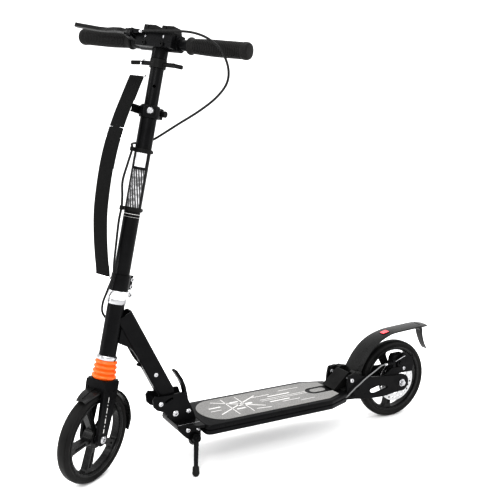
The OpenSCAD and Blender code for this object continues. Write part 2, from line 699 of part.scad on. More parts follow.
// ---------- fork ----------
module fork_leg() {
  slab(17.5, 24.5) difference() {
    union() {
      circle(r = 15);
      polygon([[-15, 0], [15, 0], [19, 50], [22, 92], [24, 112], [24, crown_top - 3], [-24, crown_top - 3],
        [-24, 108], [-23, 88], [-19, 40]]);
    }
    circle(r = axle_r);
  }
}
module fork() {
  color([0.08, 0.08, 0.08]) steered() difference() {
    union() {
      both_sides() fork_leg();
      translate([0, 0, 110]) linear_extrude(crown_top - 110) round_rect(48, 49, 7);
    }
    translate([0, 0, 100]) cylinder(r = stanchion_r, h = 40);
  }
}
module fork_stanchion() {
  color("silver") steered() ring(stanchion_r, 8.5, 110, 236);
}
// Rubber bellows over the sliding stanchion
module fork_bellows() {
  ribs = 4;
  top = cup_bottom - 0.3;
  pitch = (top - crown_top) / ribs;
  r = function (i) 26 - i * 0.8;
  color([0.95, 0.42, 0.1]) steered() rotate_extrude() polygon(concat([[15.5, crown_top]],
    [for (i = [0 : ribs - 1], k = [0 : 5]) let (a = 180 * k / 5)
      [r(i) - 3.2 + 3.2 * sin(a), crown_top + i * pitch + pitch * (1 - cos(a)) / 2]],
    [[15.5, top]]));
}
module front_fender() {
  inner = 105.5;
  outer = 108.5;
  color([0.1, 0.1, 0.1]) steered() difference() {
    union() {
      rotate([-90, 0, 0]) rotate([0, 0, 180]) rotate_extrude(angle = 127, $fn = 96) union() {
        translate([inner, -18]) square([outer - inner, 36]);
        for (y = [-18, 16]) translate([inner - 5, y]) square([6, 2]);
      }
      translate([-12, -15, 105.8]) cube([24, 30, 4.2]);
    }
    for (s = [-1, 1]) translate([0, s * 17.2, 60]) translate([-26, s > 0 ? 0 : -4, 0]) cube([52, 4, 60]);
  }
}
module front_axle() {
  color("silver") steered() {
    cross_bolt(axle_r, 8.5, 24.5, 5);
    both_sides() translate([0, hub_half + 0.3, 0]) rotate([-90, 0, 0]) ring(8, axle_r, 0, 17.5 - hub_half - 0.3);
  }
}

// ---------- handlebar ----------
module upper_tube() {
  color([0.08, 0.08, 0.08]) steered() difference() {
    ring(upper_r, 11.5, 540, bar_s - 15);
    for (s = [-50, 0, 50]) rotate([0, 0, button_turn]) translate([0, 0, qr_s + s])
      rotate([0, 90, 0]) cylinder(r = 3.2, h = 40);
  }
}
// T casting that joins the upper tube and the handlebar
module bar_block() {
  color([0.05, 0.05, 0.05]) steered() translate([0, 0, bar_s]) difference() {
    union() {
      rod_y(16, -48, 48);
      translate([0, 0, -32]) cylinder(r = 16.5, h = 20);
      translate([0, -44, -13]) cube([30, 88, 28]);
      translate([-13, -46, 4]) cube([30, 92, 14]);
    }
    rod_y(bar_r, -60, 60);
    translate([0, 0, -50]) cylinder(r = upper_r, h = 35);
    translate([0, 0, -16]) cylinder(r = 11.5, h = 10);
    // Windows and screw seats in front
    for (y = [-22, 22]) {
      translate([10, y - 2.4, 4]) cube([40, 4.8, 8]);
      translate([0, y, -7]) rotate([0, 90, 0]) cylinder(r = 3, h = 60);
    }
  }
}
// Caps on top of the T casting and the screws in its front
module bar_clamps() {
  color([0.04, 0.04, 0.04]) steered() translate([0, 0, bar_s + 18]) for (y = [-22, 22]) translate([0, y, 0])
    difference() {
      translate([-12, 0, 0]) rotate([90, 0, 90]) linear_extrude(28)
        polygon([[-17, 0], [17, 0], [12, 15], [-16, 15]]);
      translate([-20, -6, 8]) cube([60, 2, 20]);
    }
  color("silver") steered() translate([0, 0, bar_s - 7]) for (y = [-22, 22]) translate([0, y, 0])
    rotate([0, 90, 0]) {
      translate([0, 0, 18]) cylinder(r = 3, h = 12);
      translate([0, 0, 30]) screw_head(4.8, 4);
    }
}
module handlebar() {
  color([0.07, 0.07, 0.07]) steered() translate([0, 0, bar_s]) rotate([-90, 0, 0])
    ring(bar_r, bar_r - 2, 3 - bar_half, bar_half - 3);
}
// Rubber grip with a flange, a waist and a swelling for the palm
module grip() {
  rotate([-90, 0, 0]) rotate_extrude() difference() {
    polygon([[0, 68], [13.5, 68], [16, 71], [16, 76], [14.6, 79], [15.4, 95], [17.2, 118], [17.6, 140],
      [16.4, 165], [16, 185], [17.4, 196], [17, 203], [14.5, bar_half], [0, bar_half]]);
    translate([0, 60]) square([bar_r, bar_half - 63]);
  }
}
module grip_left() { color([0.06, 0.06, 0.06]) steered() translate([0, 0, bar_s]) grip(); }
module grip_right() {
  color([0.06, 0.06, 0.06]) steered() translate([0, 0, bar_s]) mirror([0, 1, 0]) grip();
}
// Collar with two arms under the handlebar, where the strap hangs
module strap_bracket() {
  color([0.04, 0.04, 0.04]) steered() translate([0, 0, bracket_s]) {
    ring(17, upper_r, -9, 9);
    both_sides() difference() {
      union() {
        rod([0, 14, 0], [0, 40, 0], 4.5, 4.5);
        translate([0, 38, 0]) sphere(r = 4.8);
        rod([0, 38, 0], [6, 62, -3], 4.2, 4.2);
      }
      translate([0, 0, -12]) cylinder(r = 16.5, h = 24);
    }
  }
}
// Frame of the brake lever: at the handlebar, +X towards the lever, +Y to the rider's left
module perch_frame() { steered() translate([0, 0, bar_s]) rotate([0, -perch_turn, 0]) children(); }
lever_pin = [36, -58];
module brake_perch() {
  color([0.05, 0.05, 0.05]) perch_frame() difference() {
    union() {
      rod_y(14.5, -67, -51);
      translate([10, -66, -7]) cube([18, 17, 14]);
      for (z = [-7, 4]) translate([26, -66, z]) cube([16, 16, 3]);
      translate([20, -50, -3]) cube([26, 5.6, 10]);
      rod([41.3, -45, 3], [41.3, -30, 3], 4.4, 3.8);
    }
    rod_y(bar_r, -80, -40);
    translate([lever_pin[0], lever_pin[1], -10]) cylinder(r = 2.5, h = 20);
  }
  color("silver") perch_frame() translate([lever_pin[0], lever_pin[1], 0]) {
    translate([0, 0, -8]) cylinder(r = 2.5, h = 16);
    for (z = [-9, 7]) translate([0, 0, z]) cylinder(r = 4.4, h = 2);
  }
}
module brake_lever() {
  color([0.07, 0.07, 0.07]) perch_frame() difference() {
    union() {
      translate([lever_pin[0], lever_pin[1], -3.8]) cylinder(r = 6, h = 7.6);
      translate([0, 0, -3.8]) linear_extrude(7.6) polygon([[30, -59], [42, -59], [49, -72], [48, -92],
        [44, -110], [45, -132], [50, -158], [54, -180], [56, -186], [52, -189], [47.5, -186], [41, -158],
        [37, -132], [37, -108], [40, -92], [38, -76]]);
    }
    translate([lever_pin[0], lever_pin[1], -10]) cylinder(r = 2.5 + fit, h = 20);
  }
}

// ---------- brake cable ----------
// Routes in the steered column frame: ahead, left, up from the front axle
upper_route = [[39.3, -29.4, 841.9], [39, -12, 843.5], [38, 18, 845.5], [37.5, 58, 848], [35, 94, 848],
  [33, 128, 840], [29, 158, 822], [22, 177, 793], [14, 177, 763], [6, 154, 733], [-3, 114, 703], [-13, 66, 674],
  [-20, 32, 653], [-24, 6, 637], [-22, -12, 628], [-6, -25, 622], [14, -20, 617.5], [20.4, -12.7, 611],
  [20.4, -12.7, 604], [25, -14, 576], [29, -16, 540], [25, -13.5, 510], [22.7, -12.2, 490], [22.7, -12.2, 482],
  [24, -12, 456], [25, -8, 410], [26, -4, 370], [26, 0, 345]];
// Route in the column frame that isn't steered, into the down tube and out behind the fold pivot
frame_route = [[21.9, 14, 343.8], [25, 12, 330], [28, 6, 306], [28, -4, 284], [20, -18, 262], [2, -24, 244],
  [-22, -21, 222], [-46, -18, 198], [-64, -10, 174], [-76, -3, 162]];
tube_route = [[24, -1, 139], [17, 0, 129], [6, 0, 112], [-4, 0, 92], [-10, 0, 70], [-10, 0, 46], [-10, 0, 16],
  [-9.6, 0, -12.6]];
// Route in rear-axle coordinates, from behind the fold pivot through the deck to the caliper
rear_route = [[596, 0, 121], [591, 0, 111], [591, 3, 98], [588, 12, 86], [579, 25, 82], [566, 32, 88],
  [546, 32, 88], [520, 38, 91], [460, 44, 93], [380, 46, 93], [300, 48, 93], [230, 50, 93], [196, 50, 93],
  [176, 50, 93.5], [164, 51, 102], [150, 52, 113], [138, 52, 120], [120, 50, 130], [84, 48, 147],
  [66, 46.5, 155], [50, 46.5, 156]];
// Moves a point of the down tube's frame into the frame of the column that isn't steered
function tube_to_column(q) = let (
  x = pivot_x + (q[0] - tube_back) * cos(tube_tilt) + q[2] * sin(tube_tilt) - wheelbase,
  z = pivot_z - (q[0] - tube_back) * sin(tube_tilt) + q[2] * cos(tube_tilt) - wheel_r)
  [x * cos(column_lean) + z * sin(column_lean), q[1], z * cos(column_lean) - x * sin(column_lean)];
module brake_cable_upper() { color([0.03, 0.03, 0.03]) steered() cord(smooth(upper_route, 2), 2.3, [1, 0.2, 0]); }
module brake_cable_frame() {
  color([0.03, 0.03, 0.03]) column()
    cord(smooth(concat(frame_route, [for (q = tube_route) tube_to_column(q)]), 2), 2.3, [0.3, 0.95, 0]);
}
module brake_cable_rear() { color([0.7, 0.7, 0.7]) rear() cord(rear_route, 2.3, [0.1, 0.3, 1]); }

// ---------- carry strap ----------
// Middle line of the strap in the steered column frame
strap_route = [[8, -42, 757], [31, -36, 712], [44, -37, 672.6], [51, -39, 634], [58, -39, 585],
  [60.5, -38.3, 535], [56.6, -37.5, 480], [44, -38, 430], [26, -41, 385], [6.6, -45, 350], [-0.5, -47, 338]];
strap_across = [0, 1, 0];
module carry_strap() {
  color([0.06, 0.06, 0.06]) steered() band(smooth(strap_route, 2), strap_w, strap_t, strap_across);
}
// Bar that holds one end of the strap and the wire hook bent from it
module strap_hook(middle, wire) {
  w = strap_w / 2 + 2;
  rod(middle - w * strap_across, middle + w * strap_across, 1.2, 1.2);
  for (i = [0 : len(wire) - 2]) {
    rod(wire[i], wire[i + 1], 1.2, 1.2);
    translate(wire[i + 1]) sphere(r = 1.4, $fn = 24);
  }
}
module strap_hook_upper() {
  end = [8, -42, 759.3];
  color("silver") steered() strap_hook(end, [end, [6, -39, 776], [7.4, -37, 786], [5.2, -36.5, 792.2],
    [0, -36, 793.9], [-5.4, -36, 791.6]]);
}
module strap_hook_lower() {
  end = [-0.5, -47, 335.8];
  color("silver") steered() strap_hook(end, [end, [6, -38, 320], [6, -27, 307], [4, -24, 305], [-5, -24, 305]]);
}

deck();
grip_tape();
front_bracket();
hinge_plate_left();
hinge_plate_right();
fold_pivot_bolt();
deck_bolts();
rear_block();
rear_arm_left();
rear_arm_right();
rear_axle();
fender_pivot();
brake_caliper();
brake_cable_rear();
hinge_knuckle();
down_tube();
head_tube();
headset();
brake_cable_frame();
release_lever();
steerer_tube();
headset_clamp();
column_collar();
lower_column();
clamp_bolts();
qr_clamp();
qr_axle();
cable_clips();
suspension_elastomer();
brake_cable_upper();
carry_strap();
strap_hook_lower();
qr_lever();
height_button();
fork();
fork_stanchion();
fork_bellows();
front_fender();
front_axle();
front_tyre();
front_rim();
front_bearings();
rear_tyre();
rear_rim();
rear_bearings();
brake_rotor();
upper_tube();
bar_block();
handlebar();
grip_left();
grip_right();
bar_clamps();
strap_bracket();
strap_hook_upper();
brake_perch();
brake_lever();
caliper_arm();
kickstand_leg();
kickstand_foot();
rear_fender();
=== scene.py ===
"""Looks of the folding kick scooter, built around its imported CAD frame.

Shapes are listed in millimetres in the CAD's own frames and placed in metres by place().
"""
import json
import math

import bmesh
import bpy
from mathutils import Matrix, Vector

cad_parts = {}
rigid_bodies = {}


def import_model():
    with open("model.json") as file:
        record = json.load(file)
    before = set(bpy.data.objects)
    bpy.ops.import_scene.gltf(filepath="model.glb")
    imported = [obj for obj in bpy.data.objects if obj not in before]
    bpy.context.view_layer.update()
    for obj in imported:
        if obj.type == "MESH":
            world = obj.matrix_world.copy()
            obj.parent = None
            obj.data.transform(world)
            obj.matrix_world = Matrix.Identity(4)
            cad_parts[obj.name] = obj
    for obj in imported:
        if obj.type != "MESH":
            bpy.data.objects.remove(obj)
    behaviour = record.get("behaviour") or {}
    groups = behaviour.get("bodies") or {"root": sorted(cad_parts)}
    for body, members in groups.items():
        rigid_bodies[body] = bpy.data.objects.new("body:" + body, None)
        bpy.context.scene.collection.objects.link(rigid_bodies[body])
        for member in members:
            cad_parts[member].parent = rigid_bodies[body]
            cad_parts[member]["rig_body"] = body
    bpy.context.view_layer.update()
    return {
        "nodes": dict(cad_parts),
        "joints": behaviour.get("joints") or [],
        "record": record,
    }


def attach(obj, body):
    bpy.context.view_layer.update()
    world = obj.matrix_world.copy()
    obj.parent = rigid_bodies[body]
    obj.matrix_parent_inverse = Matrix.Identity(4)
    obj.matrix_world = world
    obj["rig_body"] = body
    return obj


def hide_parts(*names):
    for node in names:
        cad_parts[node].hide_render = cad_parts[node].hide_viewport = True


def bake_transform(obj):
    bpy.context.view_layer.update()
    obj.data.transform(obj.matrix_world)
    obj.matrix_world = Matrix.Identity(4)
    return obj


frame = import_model()

# ---------------------------------------------------------------- frames
MM = 0.001
JOINTS = {j["name"]: j for j in frame["joints"]}
FRONT_AXLE = Vector(JOINTS["front_wheel_spin"]["pos_m"])
REAR_AXLE = Vector(JOINTS["rear_wheel_spin"]["pos_m"])
PIVOT = Vector(JOINTS["fold"]["pos_m"])
COLUMN_UP = Vector(JOINTS["steering"]["axis"])


def axes_at(origin, up, left):
    """Matrix of a frame with +Z along up and +Y near left."""
    z = Vector(up).normalized()
    x = Vector(left).cross(z).normalized()
    y = z.cross(x)
    return Matrix.Translation(origin) @ Matrix((x, y, z)).transposed().to_4x4()


COLUMN = axes_at(FRONT_AXLE, COLUMN_UP, (0, 1, 0))
STEERED = axes_at(FRONT_AXLE, COLUMN_UP, JOINTS["front_wheel_spin"]["axis"])
REAR = Matrix.Translation((REAR_AXLE.x, 0, 0))
REAR_HUB = Matrix.Translation(REAR_AXLE)
SPIN_Y = Matrix.Rotation(math.radians(-90), 4, "X")
TUBE_TILT = math.radians(26.8)
TUBE_BACK = 7.3
TUBE = (Matrix.Translation(PIVOT) @ Matrix.Rotation(TUBE_TILT, 4, "Y")
        @ Matrix.Translation((-TUBE_BACK * MM, 0, 0)))
BAR_UP = 829
BAR = STEERED @ Matrix.Translation((0, 0, BAR_UP * MM))
PRINT_SIDE = math.radians(30)
FILM_R = 17.2
SIDES = ((-1, "right"), (1, "left"))


def place(matrix, point):
    """Point in metres of a millimetre point given in a frame's own axes."""
    return matrix @ (Vector(point) * MM)


# ---------------------------------------------------------------- materials
def shader(name):
    """A new material with its node tree, its surface node and object coordinates."""
    material = bpy.data.materials.new(name)
    material.use_nodes = True
    tree = material.node_tree
    tree.nodes.clear()
    out = tree.nodes.new("ShaderNodeOutputMaterial")
    bsdf = tree.nodes.new("ShaderNodeBsdfPrincipled")
    tree.links.new(bsdf.outputs["BSDF"], out.inputs["Surface"])
    where = tree.nodes.new("ShaderNodeTexCoord").outputs["Object"]
    return material, tree, bsdf, where


def noise(tree, where, scale, detail, stretch=(1, 1, 1)):
    """Cloudy noise, drawn out along an axis by stretch."""
    mapping = tree.nodes.new("ShaderNodeMapping")
    mapping.inputs["Scale"].default_value = stretch
    tree.links.new(where, mapping.inputs["Vector"])
    node = tree.nodes.new("ShaderNodeTexNoise")
    node.inputs["Scale"].default_value = scale
    node.inputs["Detail"].default_value = detail
    tree.links.new(mapping.outputs["Vector"], node.inputs["Vector"])
    return node.outputs["Fac"]


def spread(tree, value, low, high, start=0.3, end=0.7):
    """Maps the stretch from start to end of a value onto low to high."""
    node = tree.nodes.new("ShaderNodeMapRange")
    node.inputs["From Min"].default_value = start
    node.inputs["From Max"].default_value = end
    node.inputs["To Min"].default_value = low
    node.inputs["To Max"].default_value = high
    tree.links.new(value, node.inputs["Value"])
    return node.outputs["Result"]


def cells_of(tree, where, scale):
    """Distance to the nearest of many scattered points."""
    node = tree.nodes.new("ShaderNodeTexVoronoi")
    node.inputs["Scale"].default_value = scale
    tree.links.new(where, node.inputs["Vector"])
    return node.outputs["Distance"]


def split(tree, vector):
    """Outputs that carry the X, Y and Z of a vector."""
    node = tree.nodes.new("ShaderNodeSeparateXYZ")
    tree.links.new(vector, node.inputs["Vector"])
    return node.outputs


def column_axes(tree, where):
    """Coordinates along the steered column's own axes."""
    node = tree.nodes.new("ShaderNodeMapping")
    node.vector_type = "TEXTURE"
    node.inputs["Location"].default_value = STEERED.to_translation()
    node.inputs["Rotation"].default_value = STEERED.to_euler()
    tree.links.new(where, node.inputs["Vector"])
    return node.outputs["Vector"]


def mix_colors(tree, factor, first, second):
    """Colour between two constants, by a factor that comes from a node."""
    node = tree.nodes.new("ShaderNodeMix")
    node.data_type = "RGBA"
    node.inputs["A"].default_value = (*first, 1)
    node.inputs["B"].default_value = (*second, 1)
    tree.links.new(factor, node.inputs["Factor"])
    return node.outputs["Result"]


def math_node(tree, operation, first, second=None):
    """Result of one operation on numbers or outputs."""
    node = tree.nodes.new("ShaderNodeMath")
    node.operation = operation
    for socket, value in zip(node.inputs, (first, second)):
        if value is None:
            continue
        if isinstance(value, (int, float)):
            socket.default_value = value
        else:
            tree.links.new(value, socket)
    return node.outputs[0]


def bump(tree, bsdf, height, strength, depth):
    """Lets a height shade the surface; depth is in metres."""
    node = tree.nodes.new("ShaderNodeBump")
    node.inputs["Strength"].default_value = strength
    node.inputs["Distance"].default_value = depth
    tree.links.new(height, node.inputs["Height"])
    tree.links.new(node.outputs["Normal"], bsdf.inputs["Normal"])


def finish_of(name, color, worn, rough, metal=0.0, grain=(1500, 0.15, 0.0002), coat=0.0,
              patch=40, stretch=(1, 1, 1), specular=0.5):
    """A surface with patches of a worn colour, uneven gloss and a fine grain."""
    material, tree, bsdf, where = shader(name)
    patches = noise(tree, where, patch, 6)
    tree.links.new(mix_colors(tree, spread(tree, patches, 0, 1), color, worn), bsdf.inputs["Base Color"])
    smears = noise(tree, where, patch * 3.1, 5, stretch)
    tree.links.new(spread(tree, smears, *rough), bsdf.inputs["Roughness"])
    bsdf.inputs["Metallic"].default_value = metal
    bsdf.inputs["Specular IOR Level"].default_value = specular
    bsdf.inputs["Coat Weight"].default_value = coat
    bsdf.inputs["Coat Roughness"].default_value = 0.12
    bump(tree, bsdf, noise(tree, where, grain[0], 3, stretch), grain[1], grain[2])
    return material


def rubber_grip():
    """Soft rubber with a fine diamond knurl."""
    material, tree, bsdf, where = shader("grip_rubber")
    patches = noise(tree, where, 60, 5)
    tree.links.new(mix_colors(tree, patches, (0.008, 0.008, 0.008), (0.018, 0.0175, 0.017)),
                   bsdf.inputs["Base Color"])
    tree.links.new(spread(tree, patches, 0.42, 0.6), bsdf.inputs["Roughness"])
    bsdf.inputs["Specular IOR Level"].default_value = 0.12
    bump(tree, bsdf, cells_of(tree, where, 420), 0.35, 0.0004)
    return material


def woven(name, dark, light):
    """Webbing: a tight basket weave with ribs along its length."""
    material, tree, bsdf, where = shader(name)
    waves = []
    for direction in ("X", "Z"):
        wave = tree.nodes.new("ShaderNodeTexWave")
        wave.bands_direction = direction
        wave.inputs["Scale"].default_value = 210
        wave.inputs["Distortion"].default_value = 0.6
        wave.inputs["Detail"].default_value = 1.0
        tree.links.new(where, wave.inputs["Vector"])
        waves.append(wave.outputs["Fac"])
    weave = math_node(tree, "MULTIPLY", waves[0], waves[1])
    tree.links.new(mix_colors(tree, weave, dark, light), bsdf.inputs["Base Color"])
    fuzz = noise(tree, where, 700, 4)
    tree.links.new(spread(tree, fuzz, 0.6, 0.85), bsdf.inputs["Roughness"])
    bsdf.inputs["Specular IOR Level"].default_value = 0.1
    bsdf.inputs["Sheen Weight"].default_value = 0.02
    bsdf.inputs["Sheen Roughness"].default_value = 0.4
    bump(tree, bsdf, weave, 0.7, 0.0005)
    return material


def gritty(name, dark, light):
    """Grip sheet: dense pale and dark grains that stand up from the sheet."""
    material, tree, bsdf, where = shader(name)
    grains = cells_of(tree, where, 900)
    scuffs = noise(tree, where, 22, 8)
    speckle = math_node(tree, "ADD", grains, math_node(tree, "MULTIPLY", scuffs, 0.5))
    tree.links.new(mix_colors(tree, spread(tree, speckle, 0, 1, 0.35, 1.0), dark, light),
                   bsdf.inputs["Base Color"])
    tree.links.new(spread(tree, scuffs, 0.62, 0.85), bsdf.inputs["Roughness"])
    bump(tree, bsdf, grains, 0.6, 0.0004)
    return material


def turned_disc():
    """Steel with fine rings turned round the rear axle."""
    material, tree, bsdf, where = shader("disc_steel")
    parts = split(tree, where)
    across = math_node(tree, "SUBTRACT", parts["X"], REAR_AXLE.x)
    upward = math_node(tree, "SUBTRACT", parts["Z"], REAR_AXLE.z)
    squares = [math_node(tree, "MULTIPLY", value, value) for value in (across, upward)]
    radius = math_node(tree, "SQRT", math_node(tree, "ADD", *squares))
    rings = math_node(tree, "SINE", math_node(tree, "MULTIPLY", radius, 9000))
    heat = noise(tree, where, 45, 4)
    tree.links.new(mix_colors(tree, heat, (0.36, 0.36, 0.37), (0.5, 0.5, 0.5)), bsdf.inputs["Base Color"])
    tree.links.new(spread(tree, heat, 0.22, 0.38), bsdf.inputs["Roughness"])
    bsdf.inputs["Metallic"].default_value = 1.0
    bump(tree, bsdf, rings, 0.12, 0.0001)
    return material


def printed_film(name, ground, ink, period, slope):
    """Printed film: broken strokes that climb the column on a slant."""
    material, tree, bsdf, where = shader(name)
    parts = split(tree, column_axes(tree, where))
    turn = math_node(tree, "ARCTAN2", parts["Y"], parts["X"])
    along = math_node(tree, "MULTIPLY", parts["Z"], slope)
    lay = math_node(tree, "ADD", math_node(tree, "MULTIPLY", turn, FILM_R * MM), along)
    waves = math_node(tree, "SINE", math_node(tree, "MULTIPLY", lay, 2 * math.pi / period))
    breaks = noise(tree, where, 150, 5)
    strokes = math_node(tree, "MULTIPLY", spread(tree, waves, 0, 1, -0.2, 0.7),
                        spread(tree, breaks, 0.25, 1, 0.4, 0.6))
    tree.links.new(mix_colors(tree, strokes, ground, ink), bsdf.inputs["Base Color"])
    tree.links.new(spread(tree, breaks, 0.25, 0.4), bsdf.inputs["Roughness"])
    bump(tree, bsdf, strokes, 0.08, 0.0001)
    return material


BLACK = (0.005, 0.005, 0.0055)
MATERIALS = {
    "frame_black": finish_of("frame_black", BLACK, (0.008, 0.008, 0.0085), (0.26, 0.4),
                             grain=(1400, 0.10, 0.0002), specular=0.1),
    "gloss_black": finish_of("gloss_black", (0.008, 0.008, 0.008), (0.014, 0.014, 0.014), (0.22, 0.34),
                             coat=0.04, grain=(900, 0.06, 0.0002), specular=0.2),
    "plastic_black": finish_of("plastic_black", (0.007, 0.007, 0.007), (0.013, 0.013, 0.013), (0.42, 0.58),
                               grain=(2200, 0.35, 0.0002), specular=0.12),
    "grip_rubber": rubber_grip(),
    "tyre_black": finish_of("tyre_black", (0.008, 0.008, 0.008), (0.016, 0.0155, 0.015), (0.4, 0.56),
                            grain=(1100, 0.22, 0.0003), patch=26, specular=0.12),
    "bellows_orange": finish_of("bellows_orange", (0.60, 0.085, 0.004), (0.72, 0.125, 0.007), (0.3, 0.45),
                                grain=(1300, 0.12, 0.0002), coat=0.1),
    "bright_steel": finish_of("bright_steel", (0.46, 0.46, 0.47), (0.34, 0.34, 0.35), (0.14, 0.28),
                              metal=1.0, grain=(2400, 0.08, 0.0001)),
    "chrome_wire": finish_of("chrome_wire", (0.86, 0.86, 0.87), (0.78, 0.78, 0.79), (0.05, 0.12),
                             metal=1.0, grain=(1600, 0.04, 0.0001)),
    "brushed_alloy": finish_of("brushed_alloy", (0.74, 0.74, 0.75), (0.6, 0.6, 0.61), (0.22, 0.38),
                               metal=1.0, grain=(900, 0.2, 0.0001), stretch=(1, 1, 6)),
    "disc_steel": turned_disc(),
    "grip_tape_grey": gritty("grip_tape_grey", (0.085, 0.084, 0.082), (0.25, 0.247, 0.242)),
    "tape_white": gritty("tape_white", (0.36, 0.355, 0.35), (0.66, 0.65, 0.64)),
    "webbing_black": woven("webbing_black", (0.004, 0.004, 0.004), (0.022, 0.022, 0.022)),
    "cable_black": finish_of("cable_black", (0.01, 0.01, 0.01), (0.016, 0.016, 0.016), (0.3, 0.45),
                             specular=0.15),
    "cable_grey": finish_of("cable_grey", (0.11, 0.11, 0.112), (0.15, 0.15, 0.152), (0.4, 0.55)),
    "elastomer": finish_of("elastomer", (0.6, 0.36, 0.08), (0.7, 0.42, 0.1), (0.35, 0.5)),
    "reflector_red": finish_of("reflector_red", (0.62, 0.02, 0.04), (0.75, 0.05, 0.07), (0.08, 0.16),
                               grain=(260, 0.9, 0.0008), coat=0.8),
    "film_hatched": printed_film("film_hatched", (0.02, 0.02, 0.021), (0.5, 0.5, 0.51), 0.0052, 0.22),
    "film_pale": printed_film("film_pale", (0.5, 0.5, 0.51), (0.72, 0.72, 0.73), 0.03, 1.1),
}
SLOT_OF_NODE = {s["node"]: s["material_slot"] for s in frame["record"]["subparts"]}


# ---------------------------------------------------------------- mesh helpers
def add_piece(name, mesh, material, body, nodes=(), sharp=35):
    """Links a mesh as a piece that rides a body and stands for CAD nodes."""
    piece = bpy.data.objects.new(name, mesh)
    bpy.context.scene.collection.objects.link(piece)
    for polygon in mesh.polygons:
        polygon.use_smooth = True
    mesh.set_sharp_from_angle(angle=math.radians(sharp))
    mesh.materials.append(MATERIALS[material])
    if nodes:
        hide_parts(*nodes)
    if body:
        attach(piece, body)
    return piece


def mesh_of(name, points, faces):
    """A mesh with its faces turned outward."""
    mesh = bpy.data.meshes.new(name)
    mesh.from_pydata([tuple(p) for p in points], [], faces)
    bm = bmesh.new()
    bm.from_mesh(mesh)
    bmesh.ops.recalc_face_normals(bm, faces=bm.faces)
    bm.to_mesh(mesh)
    bm.free()
    return mesh


def round_edges(piece, width, segments=3):
    """Bevels every edge that turns by more than a shallow angle."""
    modifier = piece.modifiers.new("edges", "BEVEL")
    modifier.width = width * MM
    modifier.segments = segments
    modifier.limit_method = "ANGLE"
    modifier.angle_limit = math.radians(38)
    modifier.harden_normals = True
    return piece


def loft(name, loops, material, body, nodes=(), closed=False, sharp=35):
    """Skin over loops of points with the same count; the last joins the first if closed."""
    count = len(loops[0])
    points = [p for loop in loops for p in loop]
    faces = []
    for i in range(len(loops) if closed else len(loops) - 1):
        a, b = i * count, ((i + 1) % len(loops)) * count
        faces += [(a + k, a + (k + 1) % count, b + (k + 1) % count, b + k) for k in range(count)]
    if not closed:
        faces += [tuple(range(count)), tuple(range(len(points) - count, len(points)))]
    return add_piece(name, mesh_of(name, points, faces), material, body, nodes, sharp)


def lathe(name, profile, matrix, material, body, nodes=(), steps=96, sharp=35, squeeze=None):
    """Turns a closed [radius, height] profile round +Z of a frame."""
    loops = []
    for i in range(steps):
        turn = 2 * math.pi * i / steps
        loop = []
        for radius, height in profile:
            radius *= squeeze(turn, height) if squeeze else 1
            loop.append(place(matrix, (radius * math.cos(turn), radius * math.sin(turn), height)))
        loops.append(loop)
    return loft(name, loops, material, body, nodes, True, sharp)


def smooth(route, steps):
    """Catmull-Rom path through a route."""
    points = [Vector(p) for p in route]
    path = []
    for i in range(len(points) - 1):
        a, b, c, d = points[max(i - 1, 0)], points[i], points[i + 1], points[min(i + 2, len(points) - 1)]
        for k in range(steps):
            t = k / steps
            path.append(0.5 * (2 * b + (c - a) * t + (2 * a - 5 * b + 4 * c - d) * t ** 2
                               + (3 * b - a - 3 * c + d) * t ** 3))
    return path + [points[-1]]


def tube(name, path, radius, material, body, matrix, nodes=(), sides=16, closed=False):
    """Round wire along a millimetre path, its section carried along without twist."""
    count = len(path)
    loops, across = [], None
    for i, point in enumerate(path):
        before = path[(i - 1) % count] if closed else path[max(i - 1, 0)]
        after = path[(i + 1) % count] if closed else path[min(i + 1, count - 1)]
        ahead = (Vector(after) - Vector(before)).normalized()
        if across is None:
            across = ahead.orthogonal().normalized()
        across = (across - ahead * across.dot(ahead)).normalized()
        other = ahead.cross(across)
        loops.append([place(matrix, Vector(point) + radius * (across * math.cos(t) + other * math.sin(t)))
                      for t in (2 * math.pi * k / sides for k in range(sides))])
    return loft(name, loops, material, body, nodes, closed)


def plate(name, outline, low, high, matrix, material, body, edge=0.8, axis="y"):
    """Flat outline given as [x, z] and thickened along y, or as [x, y] and along z."""
    def lift(point, height):
        return (point[0], height, point[1]) if axis == "y" else (point[0], point[1], height)

    loops = [[place(matrix, lift(p, h)) for p in outline] for h in (low, high)]
    piece = loft(name, loops, material, body)
    return round_edges(piece, edge) if edge else piece


def refine(node, edge, material=None, keep=None, label="finish"):
    """A copy of a CAD node, or of the faces whose middle keep() accepts, with rounded edges."""
    bm = bmesh.new()
    bm.from_mesh(frame["nodes"][node].data)
    bmesh.ops.remove_doubles(bm, verts=bm.verts, dist=2e-6)
    bmesh.ops.dissolve_limit(bm, angle_limit=math.radians(0.4), verts=bm.verts, edges=bm.edges)
    if keep:
        dropped = [face for face in bm.faces if not keep(face.calc_center_median())]
        bmesh.ops.delete(bm, geom=dropped, context="FACES")
    mesh = bpy.data.meshes.new(node + "_" + label)
    bm.to_mesh(mesh)
    bm.free()
    mesh.materials.clear()
    body = frame["nodes"][node]["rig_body"]
    piece = add_piece(node + "_" + label, mesh, material or SLOT_OF_NODE[node], body, [node])
    return round_edges(piece, edge, 2) if edge else piece


def rounded(corners, radius):
    """Closed outline with each corner turned into a curve."""
    outline = []
    steps, count = 6, len(corners)
    for i in range(count):
        before, here, after = (Vector(corners[(i + k) % count]) for k in (-1, 0, 1))
        into, out = (before - here).normalized(), (after - here).normalized()
        angle = into.angle(out)
        room = 0.49 * min((before - here).length, (after - here).length)
        reach = min(radius / math.tan(angle / 2), room)
        a, b = here + into * reach, here + out * reach
        for k in range(steps + 1):
            t = k / steps
            outline.append(tuple((1 - t) ** 2 * a + 2 * t * (1 - t) * here + t ** 2 * b))
    return outline


def bar_of(left, right, low, high):
    """Corners of an upright rectangle."""
    return [(left, low), (right, low), (right, high), (left, high)]


